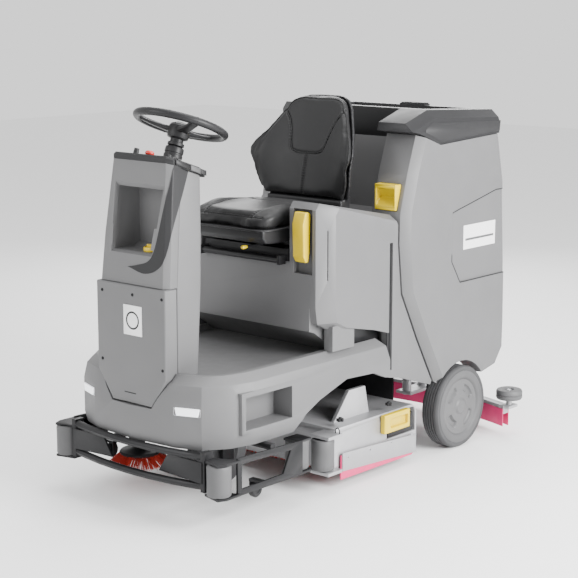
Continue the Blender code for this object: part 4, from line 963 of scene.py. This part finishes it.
def make_backrest():
    """The backrest's cover with its insert, middle seam and piping, and the shell behind it."""
    cover = puffed(backrest_start(), 8, 0.008)
    tree = tree_of(cover)
    into = (0, 1, 0)
    insert = [(-x, 0, z) for x, z in HALF_INSERT[::-1]] + [(0.0, 0, 1.221)]
    insert += [(x, 0, z) for x, z in HALF_INSERT]
    panel = laid_on(tree, smooth_line(insert, 4), into)
    middle = laid_on(tree, smooth_line([(0, 0, z) for z in (1.220, 1.17, 1.11, 1.064)], 6), into)
    grooved(cover, [panel, middle], 0.0060, 0.0065)
    show(cover, "seat", "black_vinyl", None, ["backrest_pad"])
    tree = tree_of(cover)
    piping("backrest_insert_piping", [snapped(tree, panel, 0.0012)], 0.0022, "seat")
    points = [vertex.co for vertex in cover.data.vertices]
    rim = []
    heights = [1.075 + 0.0152 * step for step in range(23)]
    for side in (-1, 1):
        run = []
        for height in heights:
            band = [point for point in points if abs(point.z - height) < 0.004]
            run.append(max(band, key=lambda point: side * point.x - 0.9 * point.y))
        if side < 0:
            rim.extend(run)
            crest = []
            for x in (-0.105, -0.07, -0.035, 0.0, 0.035, 0.07, 0.105):
                band = [point for point in points if abs(point.x - x) < 0.004 and point.z > 1.35]
                crest.append(max(band, key=lambda point: point.z - 0.6 * point.y))
            rim.extend(crest)
        else:
            rim.extend(run[::-1])
    line = smooth_line(rim, 3)
    for _ in range(6):
        eased = [(a + b * 2 + c) / 4 for a, b, c in zip(line, line[1:], line[2:])]
        line = [line[0], *eased, line[-1]]
    piping("backrest_edge_piping", [snapped(tree, line, 0.0010)], 0.0024, "seat")

    shell = remeshed(own_mesh("backrest_shell"), 0.0045, 24)
    shell.name = "backrest_back"
    show(shell, "seat", "black_plastic", None, ["backrest_shell"])


def make_seat_base():
    """The seat pan with the rolled lip along its front and sides."""
    pan = remeshed(own_mesh("seat_pan"), 0.0045, 7)
    pan.name = "seat_pan_shell"
    show(pan, "seat", "black_plastic", None, ["seat_pan"])
    low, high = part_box("seat_pan")
    half = high[0] + 0.004
    front = low[1] - 0.004
    rear = high[1] - 0.02
    corner = 0.045
    outline = []
    for side in (-1, 1):
        bend = [(side * (half - corner + corner * math.sin(step * math.pi / 12)),
                 front + corner - corner * math.cos(step * math.pi / 12)) for step in range(7)]
        outline.append(bend + [(side * half, rear)])
    path = [(x, y, high[2] - 0.003) for x, y in outline[0][::-1] + outline[1]]
    show(smooth_piece("seat_pan_lip", sweep(path, 0.0042, 8), 60), "seat", "black_plastic")


# ---------------------------------------------------------------- steering
def make_steering():
    """Thick rim with ring joints, three broad spokes, hub, horn button and the column's collar."""
    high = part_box("steering_wheel")[1]
    lean = math.radians(21)
    axis = Vector((0, math.sin(lean), math.cos(lean)))
    side_axis = Vector((1, 0, 0))
    up = axis.cross(side_axis).normalized()
    radius = 0.160
    tube = high[0] - radius
    centre = Vector((0.0, -0.631, 1.372))

    def around(angle, reach, lift=0.0):
        """A place at a bearing in the wheel's own plane."""
        return centre + (side_axis * math.cos(angle) + up * math.sin(angle)) * reach + axis * lift

    count = 96
    ring = [around(2 * math.pi * step / count, radius) for step in range(count)]
    rim = smooth_piece("steering_rim", sweep(ring, tube, 16, closed=True), 60)
    show(rim, "steering", "black_plastic", None, ["steering_wheel"])
    work = bmesh.new()
    for bearing in (-62, -26, 118, 154):
        angle = math.radians(bearing)
        place = around(angle, radius)
        along = (around(angle + 0.01, radius) - place).normalized()
        lathe([(tube * 0.90, -0.0022), (tube * 1.045, -0.0016), (tube * 1.045, 0.0016),
               (tube * 0.90, 0.0022), (tube * 0.90, -0.0022)], place, along, 24, work)
    show(smooth_piece("rim_joint_rings", work), "steering", "black_plastic", "dark_grey")

    work = bmesh.new()
    for bearing in (90, 205, 335):
        angle = math.radians(bearing)
        out = (around(angle, 1.0) - centre).normalized()
        across = axis.cross(out)
        rings = []
        for t, half, thick, lift in ((0.0, 0.024, 0.012, -0.022), (0.25, 0.021, 0.009, -0.020),
                                     (0.6, 0.017, 0.007, -0.013), (0.85, 0.017, 0.0065, -0.006),
                                     (1.0, 0.022, 0.006, -0.001)):
            reach = 0.026 + (radius - 0.032) * t
            ring = []
            for step in range(16):
                turn = 2 * math.pi * step / 16
                wide = math.copysign(abs(math.cos(turn)) ** 0.6, math.cos(turn)) * half
                tall = math.copysign(abs(math.sin(turn)) ** 0.6, math.sin(turn)) * thick
                ring.append(work.verts.new(centre + out * reach + across * wide + axis * (lift + tall)))
            rings.append(ring)
        bridged(work, rings)
    show(smooth_piece("wheel_spokes", work, 50), "steering", "black_plastic")

    work = lathe([(0.0, 0.006), (0.024, 0.005), (0.034, 0.000), (0.039, -0.008), (0.040, -0.040),
                  (0.037, -0.050), (0.028, -0.053), (0.024, -0.055), (0.024, -0.066),
                  (0.030, -0.068), (0.030, -0.078), (0.020, -0.081), (0.018, -0.120),
                  (0.0, -0.120)], centre, axis, 40)
    show(smooth_piece("wheel_hub", work, 30), "steering", "black_plastic")
    work = lathe([(0.0, 0.0012), (0.020, 0.001), (0.0225, 0.0), (0.0225, -0.002), (0.0, -0.002)],
                 centre + axis * 0.0062, axis, 32)
    show(smooth_piece("horn_button", work, 30), "steering", "black_plastic", "dark_grey")
    work = lathe([(0.0215, 0.038), (0.028, 0.040), (0.0325, 0.037), (0.034, 0.030), (0.034, 0.018),
                  (0.0325, 0.016), (0.0325, 0.012), (0.034, 0.010), (0.034, 0.0), (0.0215, 0.0),
                  (0.0215, 0.038)], centre - axis * 0.122, axis, 40)
    show(smooth_piece("collar_ring", work, 30), "chassis", "black_plastic", None, ["column_collar"])


# ---------------------------------------------------------------- wheels and rollers
def make_rear_wheels():
    """Grooved black tread, pale sidewalls and a hubcap with four curved slots."""
    half = 0.042
    groove = 0.0042
    for side, name in SIDES:
        centre, size = measured(f"rear_tyre_{name}")
        radius = size.z
        axis = (side, 0, 0)
        body = f"rear_wheel_{name}"
        profile = [(radius - 0.022, half - 0.004), (radius - 0.014, half - 0.001),
                   (radius - 0.006, half - 0.003), (radius - 0.0015, half - 0.009),
                   (radius, half - 0.014)]
        for middle in (0.018, 0.006, -0.006, -0.018):
            profile += [(radius, middle + groove / 2), (radius - 0.005, middle + groove * 0.35),
                        (radius - 0.005, middle - groove * 0.35), (radius, middle - groove / 2)]
        profile += [(radius, -half + 0.014), (radius - 0.0015, -half + 0.009),
                    (radius - 0.006, -half + 0.003), (radius - 0.014, -half + 0.001),
                    (radius - 0.022, -half + 0.004), (radius - 0.030, 0.0)]
        profile.append(profile[0])
        tread = smooth_piece(f"rear_tread_{name}", lathe(profile, centre, axis, 96), 35)
        show(tread, body, "tyre_rubber", None, [f"rear_tyre_{name}"])
        wall = [(0.112, half - 0.010), (0.118, half - 0.004), (0.122, half - 0.0012),
                (0.130, half - 0.0002), (0.142, half - 0.0006), (0.146, half - 0.0022),
                (0.149, half - 0.0026), (0.1495, half - 0.010), (0.1495, -half + 0.010),
                (0.149, -half + 0.0026), (0.142, -half + 0.0006), (0.130, -half + 0.0002),
                (0.118, -half + 0.004), (0.112, -half + 0.010)]
        wall.append(wall[0])
        show(smooth_piece(f"rear_sidewall_{name}", lathe(wall, centre, axis, 96), 30), body,
             "tyre_rubber", "sidewall")
        make_hubcap(name, centre, axis, body, half)


def make_hubcap(name, centre, axis, body, half):
    """A domed disc with a boss, a rim and four curved slots pressed into it."""
    pose = Matrix.Translation(centre) @ turn_to(axis)
    rings = 30
    steps = 144
    reach = 0.1165
    work = bmesh.new()
    grid = []
    for ring in range(1, rings + 1):
        radius = reach * ring / rings
        row = []
        for step in range(steps):
            angle = 2 * math.pi * step / steps
            height = half - 0.006 - 0.006 * (radius / reach) ** 2
            quarter = (angle % (math.pi / 2)) - math.pi / 4
            span = min(1.0, max(0.0, (math.radians(27) - abs(quarter)) / 0.10))
            band = min(1.0, max(0.0, (0.0145 - abs(radius - 0.078)) / 0.005))
            slot = (span * span * (3 - 2 * span)) * (band * band * (3 - 2 * band))
            boss = min(1.0, max(0.0, (0.034 - radius) / 0.006))
            rim = min(1.0, max(0.0, (radius - 0.104) / 0.004))
            height += 0.006 * boss + 0.003 * rim - 0.010 * slot
            if ring == rings:
                height -= 0.004
            row.append(work.verts.new(pose @ Vector((radius * math.cos(angle),
                                                     radius * math.sin(angle), height))))
        grid.append(row)
    middle = work.verts.new(pose @ Vector((0, 0, half)))
    back = [work.verts.new(pose @ Vector((reach * math.cos(2 * math.pi * step / steps),
                                          reach * math.sin(2 * math.pi * step / steps),
                                          -half + 0.012))) for step in range(steps)]
    for step in range(steps):
        after = (step + 1) % steps
        work.faces.new((middle, grid[0][step], grid[0][after]))
        for first, second in zip(grid, grid[1:] + [back]):
            work.faces.new((first[step], second[step], second[after], first[after]))
    work.faces.new(back)
    show(smooth_piece(f"rear_hubcap_{name}", work, 40), body, "hub_grey", None,
         [f"rear_hub_{name}"])


def make_drive_wheel():
    """The steered wheel below the nose, a grooved tyre on a dished hub."""
    centre, size = measured("drive_wheel")
    radius, half = size.z, size.x
    profile = [(0.0, half - 0.004), (0.030, half - 0.004), (0.034, half - 0.010),
               (0.068, half - 0.012), (0.074, half - 0.001), (radius - 0.018, half),
               (radius - 0.004, half - 0.005), (radius, half - 0.012)]
    for middle in (0.014, 0.0, -0.014):
        profile += [(radius, middle + 0.002), (radius - 0.004, middle + 0.0014),
                    (radius - 0.004, middle - 0.0014), (radius, middle - 0.002)]
    profile += [(r, -h) for r, h in profile[7::-1]]
    show(smooth_piece("drive_tyre", lathe(profile, centre, (1, 0, 0), 80), 35), "drive_wheel",
         "tyre_rubber", None, ["drive_wheel"])


def make_rollers():
    """Bumper and head rollers with black caps, the castors, and the squeegee's discs."""
    upright = [(f"bumper_roller_{place}_{name}", f"roller_{place}_{name}")
               for place in ("front", "side") for _, name in SIDES]
    upright += [(f"head_roller_{name}", f"head_roller_{name}") for _, name in SIDES]
    for node, body in upright:
        centre, size = measured(node)
        radius, half = size.x, size.z
        body_line = [(0.0, half - 0.004), (radius - 0.012, half - 0.004), (radius - 0.010, half),
                     (radius - 0.003, half - 0.002), (radius, half - 0.008)]
        body_line += [(radius - 0.0006, half * 0.5), (radius - 0.0006, -half * 0.5)]
        body_line += [(r, -h) for r, h in body_line[4::-1]]
        roller = smooth_piece(node + "_wheel", lathe(body_line, centre, (0, 0, 1), 48), 35)
        show(roller, body, SLOT_OF[node], "roller_grey", [node])
        work = bmesh.new()
        for sign in (1, -1):
            lathe([(0.0, half - 0.0005), (radius - 0.016, half - 0.001), (radius - 0.014, half - 0.004),
                   (0.0, half - 0.004)], centre, (0, 0, sign), 32, work)
        show(smooth_piece(node + "_cap", work, 30), body, "black_plastic")
    for _, name in SIDES:
        centre, size = measured(f"frame_castor_{name}")
        radius, half = size.z, size.x
        line = [(0.0, half - 0.003), (0.012, half - 0.003), (0.013, half - 0.001),
                (radius - 0.005, half), (radius, half - 0.005), (radius, -half + 0.005),
                (radius - 0.005, -half), (0.013, -half + 0.001), (0.012, -half + 0.003),
                (0.0, -half + 0.003)]
        wheel = smooth_piece(f"castor_wheel_{name}", lathe(line, centre, (1, 0, 0), 40), 35)
        show(wheel, f"castor_{name}", "black_plastic", None, [f"frame_castor_{name}"])
        node = f"squeegee_roller_{name}"
        centre, size = measured(node)
        radius, half = size.x, size.z
        line = [(0.0, half - 0.008), (0.018, half - 0.008), (0.022, half - 0.003),
                (radius - 0.014, half), (radius - 0.004, half - 0.003), (radius, half - 0.010),
                (radius, 0.003), (radius - 0.003, 0.001), (radius - 0.003, -0.001),
                (radius, -0.003), (radius, -half + 0.010), (radius - 0.004, -half + 0.003),
                (radius - 0.014, -half), (0.0, -half)]
        disc = smooth_piece(f"squeegee_disc_{name}", lathe(line, centre, (0, 0, 1), 64), 35)
        show(disc, node, SLOT_OF[node], "roller_grey", [node])
        screws(f"squeegee_disc_bolt_{name}", [centre + Vector((0, 0, half - 0.006))], (0, 0, 1),
               0.009, node, "zinc", "black_steel")


# ---------------------------------------------------------------- brushes
def bristle(work, root, tip, size):
    """One tapered three-sided strand with a slight bend."""
    root, tip = Vector(root), Vector(tip)
    along = (tip - root).normalized()
    first = along.orthogonal().normalized()
    second = along.cross(first)
    rings = []
    for t, scale in ((0.0, 1.0), (0.55, 0.85), (1.0, 0.55)):
        sag = Vector((0, 0, -1)) * 0.03 * (tip - root).length * math.sin(math.pi * t)
        place = root.lerp(tip, t) + sag
        rings.append([work.verts.new(place + size * scale * (first * math.cos(2.094 * k)
                                                             + second * math.sin(2.094 * k)))
                      for k in range(3)])
    bridged(work, rings)


def spread(index, salt):
    """A repeatable number from 0 to 1 for a strand."""
    return math.sin(index * 12.9898 + salt * 78.233) * 43758.5453 % 1.0


SIDE_STRANDS = 720
GOLDEN_TURN = 2.39996


def make_side_brush():
    """The round side brush: a black hub and splayed red strands."""
    middle, size = measured("side_brush")
    middle.z -= size.z
    hub = lathe([(0.0, 0.169), (0.018, 0.168), (0.020, 0.163), (0.020, 0.075), (0.034, 0.062),
                 (0.074, 0.054), (0.078, 0.048), (0.074, 0.040), (0.0, 0.034)], middle, (0, 0, 1), 48)
    show(smooth_piece("side_brush_hub", hub, 35), "side_brush", "black_plastic")
    work = bmesh.new()
    for index in range(SIDE_STRANDS):
        angle = GOLDEN_TURN * index
        start = 0.044 + 0.030 * spread(index, 1)
        reach = min(0.126, start + 0.040 + 0.014 * spread(index, 2))
        turn = angle + 0.10 * (spread(index, 3) - 0.5)
        root = middle + Vector((start * math.cos(angle), start * math.sin(angle), 0.045))
        tip = middle + Vector((reach * math.cos(turn), reach * math.sin(turn),
                               0.001 + 0.006 * spread(index, 4)))
        bristle(work, root, tip, 0.0013)
    show(smooth_piece("side_brush_bristles", work, 80), "side_brush", "red_bristle", None,
         ["side_brush"])


def make_cylinder_brushes():
    """The two cylindrical brushes in the head, with their strands in shallow chevrons."""
    for node in ("brush_front", "brush_rear"):
        low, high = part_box(node)
        centre, size = measured(node)
        radius, y, z = size.z, centre.y, centre.z
        core = lathe([(0.0, low[0] + 0.004), (radius * 0.60, low[0] + 0.004),
                      (radius * 0.62, low[0] + 0.008), (radius * 0.62, high[0] - 0.008),
                      (radius * 0.60, high[0] - 0.004), (0.0, high[0] - 0.004)], (0, y, z), (1, 0, 0), 40)
        show(smooth_piece(node + "_core", core, 35), node, "black_plastic")
        work = bmesh.new()
        rows, along = 18, 62
        for row in range(rows):
            for step in range(along):
                share = (step + 0.5) / along
                x = low[0] + 0.008 + (high[0] - low[0] - 0.016) * share
                index = row * along + step
                angle = 2 * math.pi * (row / rows + 0.35 * abs(share - 0.5))
                lean = angle + 0.12 * (spread(index, 5) - 0.5)
                root = (x, y + radius * 0.6 * math.cos(angle), z + radius * 0.6 * math.sin(angle))
                tip = (x + 0.006 * (spread(index, 6) - 0.5), y + radius * 0.985 * math.cos(lean),
                       z + radius * 0.985 * math.sin(lean))
                bristle(work, root, tip, 0.0026)
        show(smooth_piece(node + "_bristles", work, 80), node, "red_bristle", None, [node])


EDGE_RADII = {
    0.0008: ("squeegee_lip_front", "squeegee_lip_rear"),
    0.001: ("skirt_lip_left", "skirt_lip_right"),
    0.0012: ("skirt_plate_left", "skirt_plate_right"),
    0.0015: ("front_frame",),
    0.002: ("chassis_frame", "accelerator_pedal", "squeegee_arm", "squeegee_bar"),
    0.003: ("seat_carrier", "drive_unit", "tank_grip", "release_lever", "debris_tray",
            "suction_turbine"),
    0.004: ("tray_handle", "scrub_head"),
    0.006: ("battery_pack",),
}


def make_plain():
    """Everything that is the right shape in CAD and only needs its edges broken."""
    for width, nodes in EDGE_RADII.items():
        for node in nodes:
            soften(node, width, 2)
    for node, part in NODES.items():
        if not part.hide_render:
            part.data.materials.clear()
            part.data.materials.append(MATERIALS[SLOT_OF[node]])


for make in (make_stage, make_shells, make_console, make_console_painted_shade, make_panel_trim,
             make_cover_segments, make_controls, make_slide_lever, make_lamps, make_tank_sides,
             make_lid_details, make_head_details, make_hose, make_slit_shade_strips, make_cushion,
             make_backrest, make_seat_base, make_steering, make_rear_wheels, make_drive_wheel,
             make_rollers, make_side_brush, make_cylinder_brushes, make_plain):
    make()
